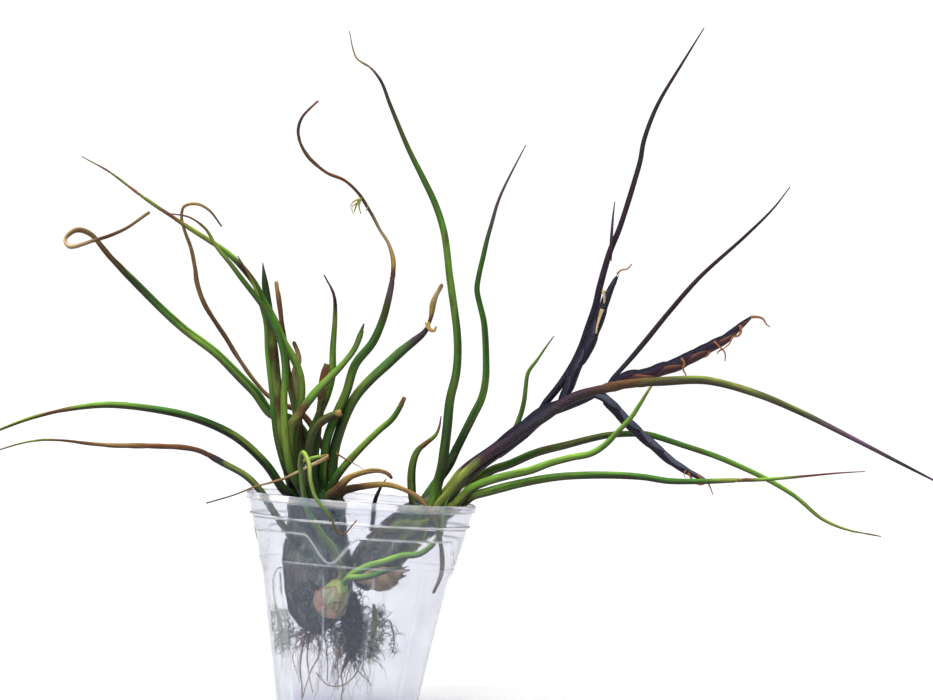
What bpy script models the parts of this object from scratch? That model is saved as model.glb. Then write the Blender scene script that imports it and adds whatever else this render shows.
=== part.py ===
"""A clump of bulbosa air plants standing in a clear plastic cup.

Metres, +Z up. The origin is the centre of the cup's underside. The cup is seen from -Y.
The plants are laid out as they are seen: each route is a list of (across, up, depth) in
millimetres, from the centre of the cup's rim, where depth runs away from the viewer.
"""

from collections import namedtuple
from math import radians

import bmesh
import bpy
from mathutils import Matrix, Vector

MM = 0.001

# The cup
CUP_HEIGHT = 86.0
RIM_RADIUS = 46.0
BASE_RADIUS = 28.6
WALL = 0.8
FLOOR = 1.2
LIP_HEIGHT = 3.0
LIP_FLARE = 0.6
UPPER_RING_DEPTH = 9.0
PANEL_TOP_DEPTH = 14.0
RING_STEP = 0.5
CUP_SIDES = 48

# How the plants are seen
PLANT_LEAN = radians(-4)
VIEW_DISTANCE = 1500.0
PICTURE_CENTRE = (42.0, 59.0)

# How the pieces meet
SEAT_GAP = 0.3
BASE_RISE = 3.0
RING_SPACING = 9.0
CURL_SPACING = 5.0
STEPS_BETWEEN_POINTS = 12
TURNED_SIDES = 20

Skin = namedtuple("Skin", "colour roughness alpha", defaults=(1.0,))
SKINS = {
    "cup": Skin((0.90, 0.91, 0.96), 0.08, 0.25),
    "bulb": Skin((0.30, 0.31, 0.24), 0.65),
    "green": Skin((0.10, 0.22, 0.06), 0.45),
    "olive": Skin((0.20, 0.22, 0.07), 0.5),
    "pale": Skin((0.42, 0.50, 0.20), 0.45),
    "dried": Skin((0.45, 0.28, 0.11), 0.75),
    "purple": Skin((0.045, 0.03, 0.07), 0.4),
    "root": Skin((0.20, 0.15, 0.10), 0.85),
    "moss": Skin((0.22, 0.26, 0.12), 0.9),
}

# A neck is the flat top of a turned solid: its middle as (across, depth, up), and the way it faces.
Neck = namedtuple("Neck", "middle facing")
LEFT_NECK = Neck(Vector((-18, 2, -2.5)), Vector((0, 0, 1)))
RIGHT_NECK = Neck(Vector((33, 5, -1)), Vector((1, -0.17, 1)).normalized())
PUP_NECK = Neck(Vector((-9.6, -17.1, -32.6)), Vector((0.35, -0.12, 0.93)).normalized())
ROOT_MASS_TOP = Neck(Vector((-4, 7, -38.6)), Vector((0, 0, 1)))

# A leaf's half widths are in millimetres, evenly spaced from its base to its tip. Its seat is where
# it stands on its neck, as (sideways, depth) from the neck's middle.
Leaf = namedtuple("Leaf", "name skin half_widths seat route")

LEFT_LEAVES = [
    Leaf("left_arching_leaf", "green", (1.5, 1.7, 1.6, 1.3, 0.8, 0.3), (-9, -5.3), [
        (-31, 3, -6), (-38, 13, -7), (-50, 24, -8), (-66, 31.5, -9), (-84, 35.5, -10),
        (-104, 37, -11), (-128, 33, -12), (-145, 27, -13), (-158, 21, -14)]),
    Leaf("left_golden_arching_leaf", "dried", (1.4, 1.5, 1.4, 1.1, 0.8, 0.4, 0.25), None, [
        (-25.5, -19, -12), (-29, -15, -14), (-35, -6, -14), (-40.5, 2.6, -13), (-46, 8.4, -13),
        (-55, 13.5, -13), (-66, 19, -13), (-80, 20.5, -14), (-102, 21, -15), (-128, 23, -16),
        (-145, 19, -17), (-158, 13, -18)]),
    Leaf("left_hooked_long_leaf", "green", (1.6, 2.0, 2.0, 1.8, 1.7, 1.5, 1.1, 0.8, 0.7), (2.2, 7.6), [
        (-17, 11, 13), (-21.5, 23, 15), (-28, 31, 16), (-36, 33.5, 17), (-42.5, 42, 18),
        (-48.5, 48, 19), (-58.5, 58, 21), (-70.5, 67, 23), (-80.5, 76, 25), (-90.5, 86, 27),
        (-98.5, 94, 28), (-103.5, 100, 29), (-108.5, 105.5, 28), (-114, 107, 26), (-118.5, 103.5, 23),
        (-117, 100.5, 20), (-106.5, 103, 17), (-95.5, 107, 16), (-85, 114, 17)]),
    Leaf("left_golden_curled_leaf", "dried", (1.3, 1.3, 1.2, 1.1, 1.0, 1.0, 0.8, 0.4), (6.6, 7.6), [
        (-14, 16, 14), (-20, 28.5, 17), (-25, 34, 19), (-36.5, 40, 21), (-43, 47, 22), (-50.5, 58, 24),
        (-57.5, 69, 25), (-62.5, 77, 26), (-65.5, 85, 26), (-66.5, 92, 25), (-68, 99, 24),
        (-70.5, 106, 22), (-72, 112, 19), (-71, 116.5, 16), (-66, 117.5, 13), (-61, 115, 11),
        (-56, 108.5, 10)]),
    Leaf("left_long_leaf", "green", (1.6, 1.8, 1.8, 1.7, 1.5, 1.2, 0.9, 0.6, 0.2), (-5.8, -1), [
        (-26, 12, -2), (-27.5, 21, -3), (-26.5, 31, -3), (-23.7, 42, -3), (-25.5, 54, -3),
        (-29.5, 64, -3), (-34, 72.5, -3.5), (-39, 79.5, -3), (-43, 86, -2.5), (-49.5, 94, -2),
        (-54.5, 98.5, -2), (-64.5, 105, -3), (-74.5, 111.5, -4), (-88.5, 121, -6), (-100.5, 130, -8),
        (-112, 136.5, -10)]),
    Leaf("left_front_leaf", "green", (1.4, 1.6, 1.7, 1.6, 1.4, 1.1, 0.7, 0.25), (-4.4, -9.5), [
        (-28, 10, -11), (-30.3, 22, -12.2), (-31, 38, -12.2), (-30.7, 54, -12.2), (-33.5, 66, -12.2),
        (-38, 74.5, -12), (-42, 80, -12.5), (-47.5, 87, -13), (-52, 93, -14), (-58.5, 101, -15),
        (-62, 107, -16), (-68.5, 112, -17), (-76, 113.5, -18)]),
    Leaf("left_slender_leaf", "green", (1.0, 1.0, 1.0, 0.9, 0.7, 0.3), (-10.2, -1), [
        (-29.3, 7.5, -3), (-31.5, 14, -6), (-34.3, 25, -8.5), (-36.2, 44, -9), (-37.7, 58, -9),
        (-38.5, 70, -8.5), (-40.5, 77.5, -8), (-42.3, 83, -7.5), (-45, 89, -7.5), (-49.5, 96.5, -8)]),
    Leaf("left_upright_leaf", "green", (1.3, 1.5, 1.5, 1.4, 1.1, 0.3), (-6.6, 7.6), [
        (-26.5, 10, 10), (-29.5, 25, 9.5), (-33, 42, 9), (-35, 60, 9), (-37, 74, 9), (-38.5, 85, 9),
        (-39.5, 94, 9)]),
    Leaf("left_old_stalk", "olive", (1.6, 2.0, 2.2, 2.2, 2.1, 1.5), (-9, 3.3), [
        (-28.5, 7, 3.5), (-31, 18, 3), (-33.5, 32, 3), (-34.7, 46, 3), (-35.5, 59, 3), (-36, 70, 3),
        (-37.5, 76.5, 3)]),
    Leaf("left_orange_tipped_leaf", "olive", (1.1, 1.2, 1.2, 1.0, 0.5), (-4.5, 3.3), [
        (-24, 14, 4), (-26.4, 34, 2), (-28.8, 46, 1.5), (-30.3, 59, 1.5), (-31.5, 68, 1.5),
        (-33, 78, 2), (-34, 86, 2)]),
    Leaf("left_dry_strip", "dried", (0.9, 0.9, 0.8, 0.9, 0.5), (-2.2, 7.6), [
        (-21.5, 14, 9), (-24.8, 30, 7), (-26.6, 42, 4), (-26.8, 49, 3), (-25.2, 54.5, 2.5),
        (-25.5, 58, 2.5), (-27, 62, 2.5)]),
    Leaf("left_brown_stub", "dried", (1.4, 1.5, 1.5, 1.4, 1.2), (-1.4, -1), [
        (-19.2, 10, 0.5), (-17.6, 26, 1), (-16.2, 37, 1), (-15.6, 46, 1), (-13.8, 53.5, 1)]),
    Leaf("left_dark_tipped_leaf", "green", (1.3, 1.5, 1.5, 1.4, 1.0, 0.3), (0, 3.3), [
        (-20, 12, 6), (-21, 22, 6.5), (-17.5, 32, 6.5), (-14, 40, 6.5), (-11.8, 48, 6.5),
        (-11.4, 60, 6.5), (-10.6, 72, 6), (-11, 81, 6), (-15, 89, 6)]),
    Leaf("left_slanting_leaf", "olive", (1.4, 1.8, 1.9, 1.7, 1.2, 0.3), (-4.5, -5.3), [
        (-27, 10, -6.6), (-29, 20, -7.6), (-28.5, 28, -7.8), (-24.5, 34, -7.8), (-18.5, 42, -7.5),
        (-12.5, 48, -7.5), (-6.5, 54.5, -7.5), (-2.5, 60, -7.5), (1, 69.5, -7.5)]),
    Leaf("left_tall_curled_leaf", "green", (1.5, 1.8, 1.9, 1.8, 1.6, 1.3, 1.0, 0.8, 0.6), (3, -1), [
        (-15, 11, 1), (-13.5, 24, 1), (-10, 33, 1), (-6, 42, 1), (-2.5, 53, 1), (4.5, 62, 2),
        (8.5, 71, 3), (10.7, 79, 3), (12.3, 87, 3), (12.8, 95, 2), (10.5, 102, 1), (7.5, 107, 0),
        (4, 113.5, -2), (-1.5, 122, -5), (-7, 127, -7), (-14, 130, -8), (-21, 136, -8),
        (-24.7, 142.5, -6), (-25.3, 147.5, -4), (-23.5, 152.5, -2), (-17.5, 158.5, 0)]),
    Leaf("left_curled_tip_leaf", "green", (1.5, 1.9, 1.9, 1.6, 1.3, 1.3, 1.2, 0.7), (7.4, -1), [
        (-11.6, 10, 2), (-10.6, 20, 2.5), (-6.2, 33, 2.5), (-2.2, 40.5, 2.5), (4, 47.5, 3), (10, 53, 4),
        (16, 58.5, 5), (21, 62.5, 6), (25.5, 66.5, 7), (27.8, 72, 7), (29, 79, 6), (32, 85, 5)]),
    Leaf("left_cut_orange_leaf", "green", (1.3, 1.4, 1.4, 1.3, 1.1), (4.5, -5.3), [
        (-9.5, 9, -5), (-1.5, 18.5, -6), (6.5, 26.5, -7), (12.7, 32, -8), (17.3, 40, -9)]),
    Leaf("left_hollow_stub", "olive", (1.6, 1.8, 1.8, 1.7, 1.6), (0, -5.3), [
        (-20, 10, -5), (-20.8, 20, -5.5), (-18.8, 27, -5), (-15, 31, -4.5), (-8, 34, -4)]),
    Leaf("left_brown_curl", "dried", (0.9, 0.9, 0.8, 0.6, 0.4), (4.4, -9.5), [
        (-9.5, 3.5, -9), (-5, 8, -11), (1, 10.2, -13), (6.5, 10.6, -14), (10.5, 9.5, -15),
        (12, 7.8, -15)]),
    Leaf("left_drooping_leaf", "dried", (1.0, 1.0, 1.0, 1.0, 0.9, 0.8, 0.5), (9, -5.3), [
        (-6, 3.2, -5), (-1, 4.2, -8), (7, 5.2, -12), (12, 4.8, -14), (17, 3.2, -15), (24, -1.2, -16.5),
        (28.3, -7.5, -17), (31, -15.5, -17), (32, -24, -15.5), (31.5, -31, -14), (28.5, -38, -13.5)]),
    Leaf("left_dry_strand", "dried", (0.7, 0.7, 0.6, 0.5, 0.4, 0.35, 0.3), (0, -9.5), [
        (-21.5, 7, -13), (-24.5, 13, -15), (-20, 15.3, -16), (-16.5, 16.2, -17), (-13, 16.5, -18.3),
        (-16, 14.8, -19.8), (-23.5, 11.2, -20), (-30, 8, -20), (-37, 5.8, -20), (-42.5, 4.4, -20),
        (-51, 1, -20), (-62, -2.2, -20)]),
]

RIGHT_LEAVES = [
    Leaf("right_short_leaf", "green", (1.2, 1.5, 1.3, 1.0, 0.7, 0.25), (-6.4, 0.8), [
        (23, 8, 4), (20.5, 13.5, 4), (22.3, 18.5, 4), (25.8, 21.8, 4), (29.7, 25, 4),
        (31.2, 28.5, 4), (31.8, 32.5, 4)]),
    Leaf("right_tallest_leaf", "green", (1.5, 2.1, 1.9, 1.7, 1.6, 1.5, 1.3, 0.9, 0.6, 0.2), (-5, -3.8), [
        (30, 6, -1), (32.2, 12, -3), (33.3, 20, -4), (34.3, 28, -5), (35.4, 39, -6), (37.8, 49, -7),
        (38.6, 59, -8), (38.2, 67, -9), (37, 76.5, -10), (35.4, 88.5, -11), (33, 106.5, -12),
        (29.5, 117.5, -12), (24.5, 128, -12), (19, 139, -11), (11.5, 157, -9), (7.8, 166.5, -7),
        (3.5, 172, -6), (-1.8, 175.5, -5), (-3.6, 180, -4), (-4.8, 186.5, -3)]),
    Leaf("right_inner_tall_leaf", "green", (1.3, 1.8, 1.7, 1.4, 1.2, 1.0, 0.6, 0.2), (-4, 4.8), [
        (32, 8, 10), (35, 13, 11), (37.6, 18.6, 12), (40.8, 25, 12), (44.6, 32.6, 13), (48.2, 40, 14),
        (49.6, 47, 15), (49.8, 55, 16), (49, 70, 17), (47.4, 77, 18), (46.2, 83, 18), (47, 89, 18),
        (48.6, 96, 18), (50.2, 103, 18), (52.2, 110, 17), (54.2, 117, 16), (56.6, 123, 15),
        (62.6, 135, 13), (65.8, 141, 12)]),
    Leaf("right_back_leaf", "green", (1.1, 1.2, 1.2, 1.1, 0.8, 0.2), (0.4, 6.4), [
        (44, 8, 15), (54, 18, 18), (60, 25, 19), (63.4, 32.6, 20), (65, 39, 20), (65.6, 44, 20),
        (66.6, 50, 19), (70.2, 55, 18), (74.6, 61.4, 17), (77, 64.6, 16)]),
    Leaf("right_longest_leaf", "olive", (1.5, 1.9, 2.1, 2.0, 1.7, 1.4, 1.1, 0.7, 0.2), (-0.2, -6.3), [
        (41, 9, -5), (51, 17.5, -6), (60, 23, -7), (65, 27, -8), (73, 32, -8.5), (83.6, 39.4, -9),
        (91.6, 42.2, -9.5), (102.4, 44.9, -10), (111.4, 45.8, -11), (135.4, 47, -14), (143.4, 45.8, -15),
        (159.4, 41, -18), (175.4, 34.2, -21), (195.4, 24.2, -25), (215.4, 13.8, -29),
        (229, 6.8, -32), (240, 1, -34)]),
    Leaf("right_low_curving_leaf", "green", (1.4, 1.7, 1.6, 1.4, 1.3, 1.2, 1.0, 0.7, 0.25), (4.6, 4.4), [
        (45.5, 6, 10), (51.5, 10.6, 11), (59.4, 13.4, 12), (70.2, 18, 13), (81, 20.7, 13),
        (91.6, 23.4, 13), (99.8, 25, 13), (111.4, 25.4, 13), (115, 25, 13), (128, 21, 12),
        (141.2, 16.6, 11), (154, 11.2, 10), (164.6, 6, 9), (173.8, 0.2, 8), (184, -8.4, 7),
        (193.4, -12.6, 6), (207.8, -15.6, 5)]),
    Leaf("right_light_green_leaf", "green", (1.4, 1.6, 1.6, 1.4, 1.2, 0.9, 0.3), (4.3, -4.8), [
        (43.5, 3.4, -2), (51.4, 6.8, -3), (59.4, 9, -3.5), (67.6, 10.9, -4), (75.6, 13.8, -4.5),
        (83.6, 15.9, -5), (91.6, 17.5, -5.5), (97, 20.7, -5.5), (102.4, 26.2, -5), (107.8, 32, -4),
        (111.4, 37.4, -3), (115.4, 43.8, -1)]),
    Leaf("right_lowest_leaf", "green", (1.4, 1.7, 1.6, 1.5, 1.3, 1.1, 0.8, 0.5, 0.2), (6.3, -0.2), [
        (44.5, 0.6, 0), (49.4, 2, -0.5), (62.6, 5.4, -1), (78.2, 8.2, -2), (96.6, 9, -3),
        (112.4, 8.2, -4), (122.8, 6.6, -4.5), (134.6, 6.4, -5), (147.8, 6.8, -5), (162.2, 7.2, -5),
        (177.8, 8.6, -4), (191, 9.8, -3), (201.4, 10.4, -2)]),
]

# These grow from a bulb's side or from the flowering stem, so their routes hold their own bases.
OTHER_LEAVES = [
    Leaf("right_shoulder_spike", "purple", (0.9, 1.0, 0.9, 0.7, 0.2), None, [
        (3.8, -13.3, 8), (4.6, -9, 8), (5, -3.4, 7.5), (5.8, 0, 7), (8, 4.6, 6.5), (9.8, 7.4, 6)]),
    Leaf("tall_bract_leaf", "purple", (1.4, 1.6, 1.5, 1.4, 1.2, 1.1, 0.9, 0.6, 0.2), None, [
        (70.5, 35, 6), (73.8, 38.2, 6.5), (80, 45.8, 7), (85, 53.6, 8), (88, 60, 8), (90.4, 67, 8),
        (93.6, 76.2, 8), (95.4, 84.2, 8), (99.4, 98.2, 9), (103.2, 107.4, 10), (109.4, 127, 12),
        (111.6, 135, 13), (112.8, 142, 13), (116.6, 153, 14), (120.2, 160.4, 14), (128.6, 174.2, 15),
        (137, 187.8, 16)]),
    Leaf("bract_side_tip", "purple", (0.7, 0.7, 0.5, 0.2), None, [
        (99.9, 94.5, 6.8), (99.9, 101, 6.6), (100.1, 105.6, 6.4), (100.6, 112.3, 6.2),
        (101.3, 118.4, 6)]),
    Leaf("slanting_bract_leaf", "purple", (0.9, 1.1, 1.0, 0.8, 0.6, 0.2), None, [
        (97.6, 44.6, 2.8), (102.1, 49.4, 4), (107.4, 55.2, 5.5), (112.8, 61.6, 6), (123.4, 74.6, 7),
        (135.4, 88.2, 8), (154, 105, 9), (164.9, 115.8, 10), (171.4, 124.2, 10)]),
]

PUP_LEAVES = [
    Leaf("pup_inner_leaf", "green", (1.2, 1.3, 1.3, 1.2, 1.1, 0.9, 0.3), (0.8, 1.4), [
        (-3.4, -30.6, -16), (2.6, -27.6, -16), (9.4, -25.6, -15.5),
        (16.2, -23.4, -14.5), (23, -22.6, -14), (28.6, -18.6, -12.5), (31.8, -13.8, -11),
        (33, -7.8, -9.5), (34.2, -1.4, -8), (36.6, 2.2, -7)]),
    Leaf("pup_hooked_leaf", "pale", (1.2, 1.3, 1.2, 1.1, 1.0, 0.9, 0.7, 0.5, 0.3), (-1.6, 0), [
        (-9.4, -26, -19), (-11.4, -20.8, -21), (-15.4, -15.4, -24), (-19, -9.8, -26),
        (-20.4, -7.8, -26.5), (-22.6, -1, -27), (-23.8, 7, -28), (-24.4, 14, -31), (-23.4, 18, -35.5),
        (-21, 13.5, -41), (-20.4, 7, -44.5), (-18.4, 0.2, -46), (-14.6, -5, -46), (-11.8, -9, -46),
        (-9.8, -13.8, -45.8), (-7.4, -14.8, -46), (-2, -9.2, -47.5)]),
    Leaf("pup_short_leaf", "green", (1.1, 1.1, 0.9, 0.3), (0.8, -1.4), [
        (-4, -32, -20), (2.6, -31.6, -19.5), (9.4, -29.4, -17.5), (16.2, -27.8, -16.5)]),
]

FLOWER_SPIKES = [
    Leaf("upright_flower_spike", "purple", (1.0, 1.3, 2.2, 2.3, 2.1, 1.6, 0.6), None, [
        (80.8, 39.9, 4), (83.6, 45.8, 3), (86, 53, 2), (88.6, 56.2, 2), (93.4, 67, 2),
        (96.6, 75.8, 2), (99.4, 83, 2.4), (102.2, 88.2, 2.8)]),
    Leaf("right_flower_spike", "purple", (1.2, 2.0, 2.4, 2.3, 2.1, 1.5, 0.4), None, [
        (98.9, 43.4, 1), (105.4, 48, 0), (112.8, 49, -1), (120.8, 51.4, -2), (129, 54.6, -3),
        (137, 59, -4), (145, 63.2, -5), (150.2, 67.4, -5.5), (155.8, 72.2, -6)]),
    Leaf("drooping_flower_spike", "purple", (1.1, 2.0, 2.3, 2.1, 1.8, 1.3, 0.5), None, [
        (96.4, 40, 2.4), (102, 34.8, 3.6), (107.4, 29, 4.5), (112.8, 24.2, 5), (118.2, 19.4, 5),
        (123.4, 15, 5), (129, 11.2, 5), (134.2, 8.6, 4.5), (138, 6.4, 4)]),
]

SCAPE = Leaf("flowering_stem", "purple", (2.4, 3.1, 3.3, 3.0, 2.5, 1.9, 1.3), (-0.2, 0.2), [
    (40, 8, 5), (43.4, 11, 5), (55.4, 19.6, 4), (63.4, 26, 3), (73.4, 34, 2.5), (84, 38, 2),
    (94, 42, 1.8), (98.3, 43.2, 1.2)])

ROOTS = [
    Leaf("left_moss", "moss", (0.4, 0.4, 0.5, 1.6, 3.0, 2.6, 0.8), None, [
        (-32.5, -28, 1), (-34, -29.5, 0), (-35, -33, 0), (-34.2, -42, 0), (-32.6, -49, 0),
        (-31.6, -56, 0), (-31, -61, 0)]),
    Leaf("right_moss", "moss", (1.2, 3.0, 3.6, 3.0, 1.8, 0.6), None, [
        (5, -42.5, 8), (5.4, -47, 7), (5.2, -52, 6), (4.4, -58, 5), (3.2, -64, 4.6)]),
    Leaf("moss_sprig", "moss", (0.4, 0.6, 0.9, 1.2, 0.5), None, [
        (8.9, -50.4, 5), (11, -49, 3), (12.4, -53, 1), (13, -58, 0), (12.4, -62, 0)]),
    Leaf("root_to_floor_left", "root", (0.6, 0.45, 0.4, 0.4, 0.4), None, [
        (-22, -53.5, 3), (-23.4, -60, 4), (-24.4, -68, 5), (-23.6, -76, 5), (-23.8, -82.4, 5)]),
    Leaf("root_to_floor_right", "root", (0.6, 0.45, 0.4, 0.4, 0.4), None, [
        (-5.8, -64.4, 7), (-8, -70, 4), (-7.4, -76, 1), (-8, -80, 0), (-7.6, -83.9, 0)]),
    Leaf("root_curved_left", "root", (0.5, 0.4, 0.35, 0.3), None, [
        (-17.2, -55.7, 0.6), (-17, -63, -2), (-20, -69, -5), (-22, -75, -6), (-23.4, -80, -6)]),
    Leaf("root_hanging_left", "root", (0.5, 0.4, 0.35, 0.3), None, [
        (-20.4, -54.1, -0.6), (-21.6, -63, -5), (-20.8, -71, -8), (-19.4, -78, -9)]),
    Leaf("root_hanging_middle", "root", (0.5, 0.4, 0.35, 0.3), None, [
        (-15.6, -54.4, 4.2), (-14, -62, 8), (-13.4, -68, 11), (-13.8, -74, 12)]),
    Leaf("root_hanging_front", "root", (0.5, 0.4, 0.35, 0.3), None, [
        (-11, -49, -2), (-10.4, -58, -4), (-9.4, -68, -6), (-9.4, -77, -7)]),
    Leaf("root_loop", "root", (0.45, 0.4, 0.35, 0.35, 0.3), None, [
        (-2.2, -64.4, 6.2), (-1, -67, 3), (-3.4, -72, -1), (-8.6, -75.4, -5), (-14.2, -74.6, -6),
        (-18, -70, -6)]),
    Leaf("root_hanging_right", "root", (0.45, 0.4, 0.35, 0.3), None, [
        (-3, -63.9, 9), (-1.6, -69, 10), (1, -71.5, 10), (4, -75, 12)]),
]

# A turned solid's outline is (distance from its neck, half width), from the neck down.
LEFT_BULB = [
    (0, 12.4), (6.5, 11.2), (14, 11.6), (22, 13.5), (29, 13.8), (35, 12.8), (43, 9.8), (49, 5.6),
    (52.5, 2.0)]
RIGHT_BULB = [
    (0, 8.6), (6, 8.9), (14, 9.4), (23, 10.4), (31, 10.9), (38, 11.0), (44, 9.1), (48, 6.0), (50, 2.4)]
PUP_BULB = [(0, 3.0), (2.5, 4.8), (5.5, 6.0), (8.5, 6.1), (11.5, 4.6), (13.5, 2.0)]
ROOT_MASS = [(0, 1.5), (4, 3.6), (9, 5.0), (15, 5.4), (20, 4.6), (24, 3.0), (26, 1.2)]

# The dry sheath is a torn flat flap in front of the right bulb's foot.
DRY_SHEATH_THICKNESS = 0.5
DRY_SHEATH_DEPTH = -2.3
DRY_SHEATH_TURN = radians(12)
DRY_SHEATH_OUTLINE = [
    (-0.5, -31), (3, -28.6), (8, -27.6), (13, -28), (19, -27.2), (17.4, -29.6), (19.6, -31.8),
    (15.4, -32.4), (13, -35), (9.4, -34.4), (6, -37.4), (2.6, -35.6)]


def clear_scene():
    """Empty the scene and drop what was in it."""
    for old in list(bpy.data.objects):
        bpy.data.objects.remove(old, do_unlink=True)


def principled_material(name, skin):
    """A plain Principled material of this skin's colour."""
    material = bpy.data.materials.new(name)
    material.use_nodes = True
    shader = material.node_tree.nodes["Principled BSDF"]
    shader.inputs["Base Color"].default_value = (*skin.colour, 1)
    shader.inputs["Roughness"].default_value = skin.roughness
    shader.inputs["Metallic"].default_value = 0
    shader.inputs["Alpha"].default_value = skin.alpha
    return material


def add_part(name, data, skin, collection, parent=None):
    """Put one named piece in the collection, with a material of its own."""
    part = bpy.data.objects.new(name, data)
    data.materials.append(principled_material(name, SKINS[skin]))
    collection.objects.link(part)
    part.parent = parent
    return part


def on_sight_line(across, up, depth):
    """The point at this depth that is seen where (across, up) lies in the plane of the cup's axis."""
    spread = 1 + depth / VIEW_DISTANCE
    middle_across, middle_up = PICTURE_CENTRE
    return Vector((
        middle_across + (across - middle_across) * spread,
        depth,
        middle_up + (up - middle_up) * spread,
    ))


def curve_between(corners, steps):
    """Points from the second corner towards the third, on a centripetal Catmull-Rom curve."""
    knots = [0.0]
    for one, other in zip(corners, corners[1:]):
        knots.append(knots[-1] + max((other - one).length, 0.01) ** 0.5)

    def blend(one, other, low, high, at):
        return one + (other - one) * ((at - knots[low]) / (knots[high] - knots[low]))

    points = []
    for step in range(steps):
        at = knots[1] + (knots[2] - knots[1]) * step / steps
        legs = [blend(corners[i], corners[i + 1], i, i + 1, at) for i in range(3)]
        pairs = [blend(legs[i], legs[i + 1], i, i + 2, at) for i in range(2)]
        points.append(blend(*pairs, 1, 2, at))
    return points


def smooth_route(points):
    """A dense smooth line through the points."""
    first = points[0] * 2 - points[1]
    last = points[-1] * 2 - points[-2]
    padded = [first, *points, last]
    line = []
    for i in range(1, len(padded) - 2):
        line += curve_between(padded[i - 1:i + 3], STEPS_BETWEEN_POINTS)
    return line + [points[-1]]


def evenly_spaced(line, spacing):
    """Points at about this spacing along the line, with how far along it each lies, from 0 to 1."""
    reached = [0.0]
    for one, other in zip(line, line[1:]):
        reached.append(reached[-1] + (other - one).length)
    count = max(4, round(reached[-1] / spacing))
    spaced = []
    i = 0
    for k in range(count + 1):
        goal = reached[-1] * k / count
        while i < len(line) - 2 and reached[i + 1] < goal:
            i += 1
        share = (goal - reached[i]) / max(reached[i + 1] - reached[i], 1e-9)
        spaced.append((line[i].lerp(line[i + 1], share), k / count))
    return spaced


def width_at(half_widths, along):
    """The half width this far along, read between the two nearest of the list."""
    place = along * (len(half_widths) - 1)
    i = min(int(place), len(half_widths) - 2)
    return half_widths[i] + (half_widths[i + 1] - half_widths[i]) * (place - i)


def seat_point(neck, seat, rise):
    """A point this far above the seat of the neck."""
    sideways = Vector((0, 1, 0)).cross(neck.facing).normalized()
    backward = neck.facing.cross(sideways)
    return neck.middle + sideways * seat[0] + backward * seat[1] + neck.facing * rise


def add_leaf(leaf, neck, collection, lean, spacing=RING_SPACING):
    """A tapering tube with closed ends, from the leaf's seat along its route."""
    points = [on_sight_line(*point) for point in leaf.route]
    if leaf.seat:
        points = [seat_point(neck, leaf.seat, BASE_RISE), *points]
    spaced = evenly_spaced(smooth_route(points), spacing)
    if leaf.seat:
        spaced = [(seat_point(neck, leaf.seat, SEAT_GAP), 0), *spaced]
    curve = bpy.data.curves.new(leaf.name, "CURVE")
    curve.dimensions = "3D"
    curve.bevel_depth = MM
    curve.bevel_resolution = 1
    curve.use_fill_caps = True
    spline = curve.splines.new("POLY")
    spline.points.add(len(spaced) - 1)
    for point, (place, along) in zip(spline.points, spaced):
        point.co = (*(place * MM), 1)
        point.radius = width_at(leaf.half_widths, along)
    return add_part(leaf.name, curve, leaf.skin, collection, lean)


def add_turned(name, skin, outline, neck, collection, lean):
    """A turned solid whose flat top is the neck, closed at its foot."""
    mesh = bpy.data.meshes.new(name)
    profile = [(0, 0), *((half_width, -below) for below, half_width in outline), (0, -outline[-1][0])]
    shape = bmesh.new()
    corners = [shape.verts.new((across * MM, 0, up * MM)) for across, up in profile]
    for one, other in zip(corners, corners[1:]):
        shape.edges.new((one, other))
    shape.to_mesh(mesh)
    shape.free()
    part = add_part(name, mesh, skin, collection, lean)
    turn = Vector((0, 0, 1)).rotation_difference(neck.facing).to_matrix().to_4x4()
    part.matrix_basis = Matrix.Translation(neck.middle * MM) @ turn
    add_screw(part, TURNED_SIDES)
    return part


def add_screw(part, sides):
    """Turn the profile once round its own Z axis."""
    screw = part.modifiers.new("turned", "SCREW")
    screw.axis = "Z"
    screw.steps = sides
    screw.render_steps = sides
    screw.use_merge_vertices = True
    screw.merge_threshold = 0.00001


def cup_profile():
    """The cup's cross-section in millimetres, from the floor's middle up inside and down outside."""
    slope = (RIM_RADIUS - LIP_FLARE - BASE_RADIUS - RING_STEP) / CUP_HEIGHT

    def outer(height):
        return BASE_RADIUS + slope * height

    lip = CUP_HEIGHT - LIP_HEIGHT
    ring = CUP_HEIGHT - UPPER_RING_DEPTH
    panel = CUP_HEIGHT - PANEL_TOP_DEPTH
    outside = [
        (RIM_RADIUS - 0.3, CUP_HEIGHT),
        (RIM_RADIUS, CUP_HEIGHT - 0.4),
        (RIM_RADIUS, lip),
        (outer(lip) + RING_STEP, lip - 0.6),
        (outer(ring) + RING_STEP, ring),
        (outer(ring) + RING_STEP * 0.5, ring - 0.5),
        (outer(panel) + RING_STEP * 0.5, panel),
        (outer(panel), panel - 0.6),
        (BASE_RADIUS, 0.8),
        (BASE_RADIUS - 0.8, 0),
    ]
    inside = [(across - WALL, up) for across, up in outside[:-2]]
    inside[1] = (RIM_RADIUS - WALL, CUP_HEIGHT - 0.4)
    foot = [(BASE_RADIUS - WALL - 0.4, FLOOR + 0.8), (BASE_RADIUS - WALL - 1.4, FLOOR), (0, FLOOR)]
    return [(0, 0), *reversed(outside), *inside, *foot]


def add_cup(collection):
    """The clear cup, turned from its cross-section."""
    mesh = bpy.data.meshes.new("cup")
    shape = bmesh.new()
    corners = [shape.verts.new((across * MM, 0, up * MM)) for across, up in reversed(cup_profile())]
    for one, other in zip(corners, corners[1:]):
        shape.edges.new((one, other))
    shape.to_mesh(mesh)
    shape.free()
    part = add_part("cup", mesh, "cup", collection)
    add_screw(part, CUP_SIDES)
    return part


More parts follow.
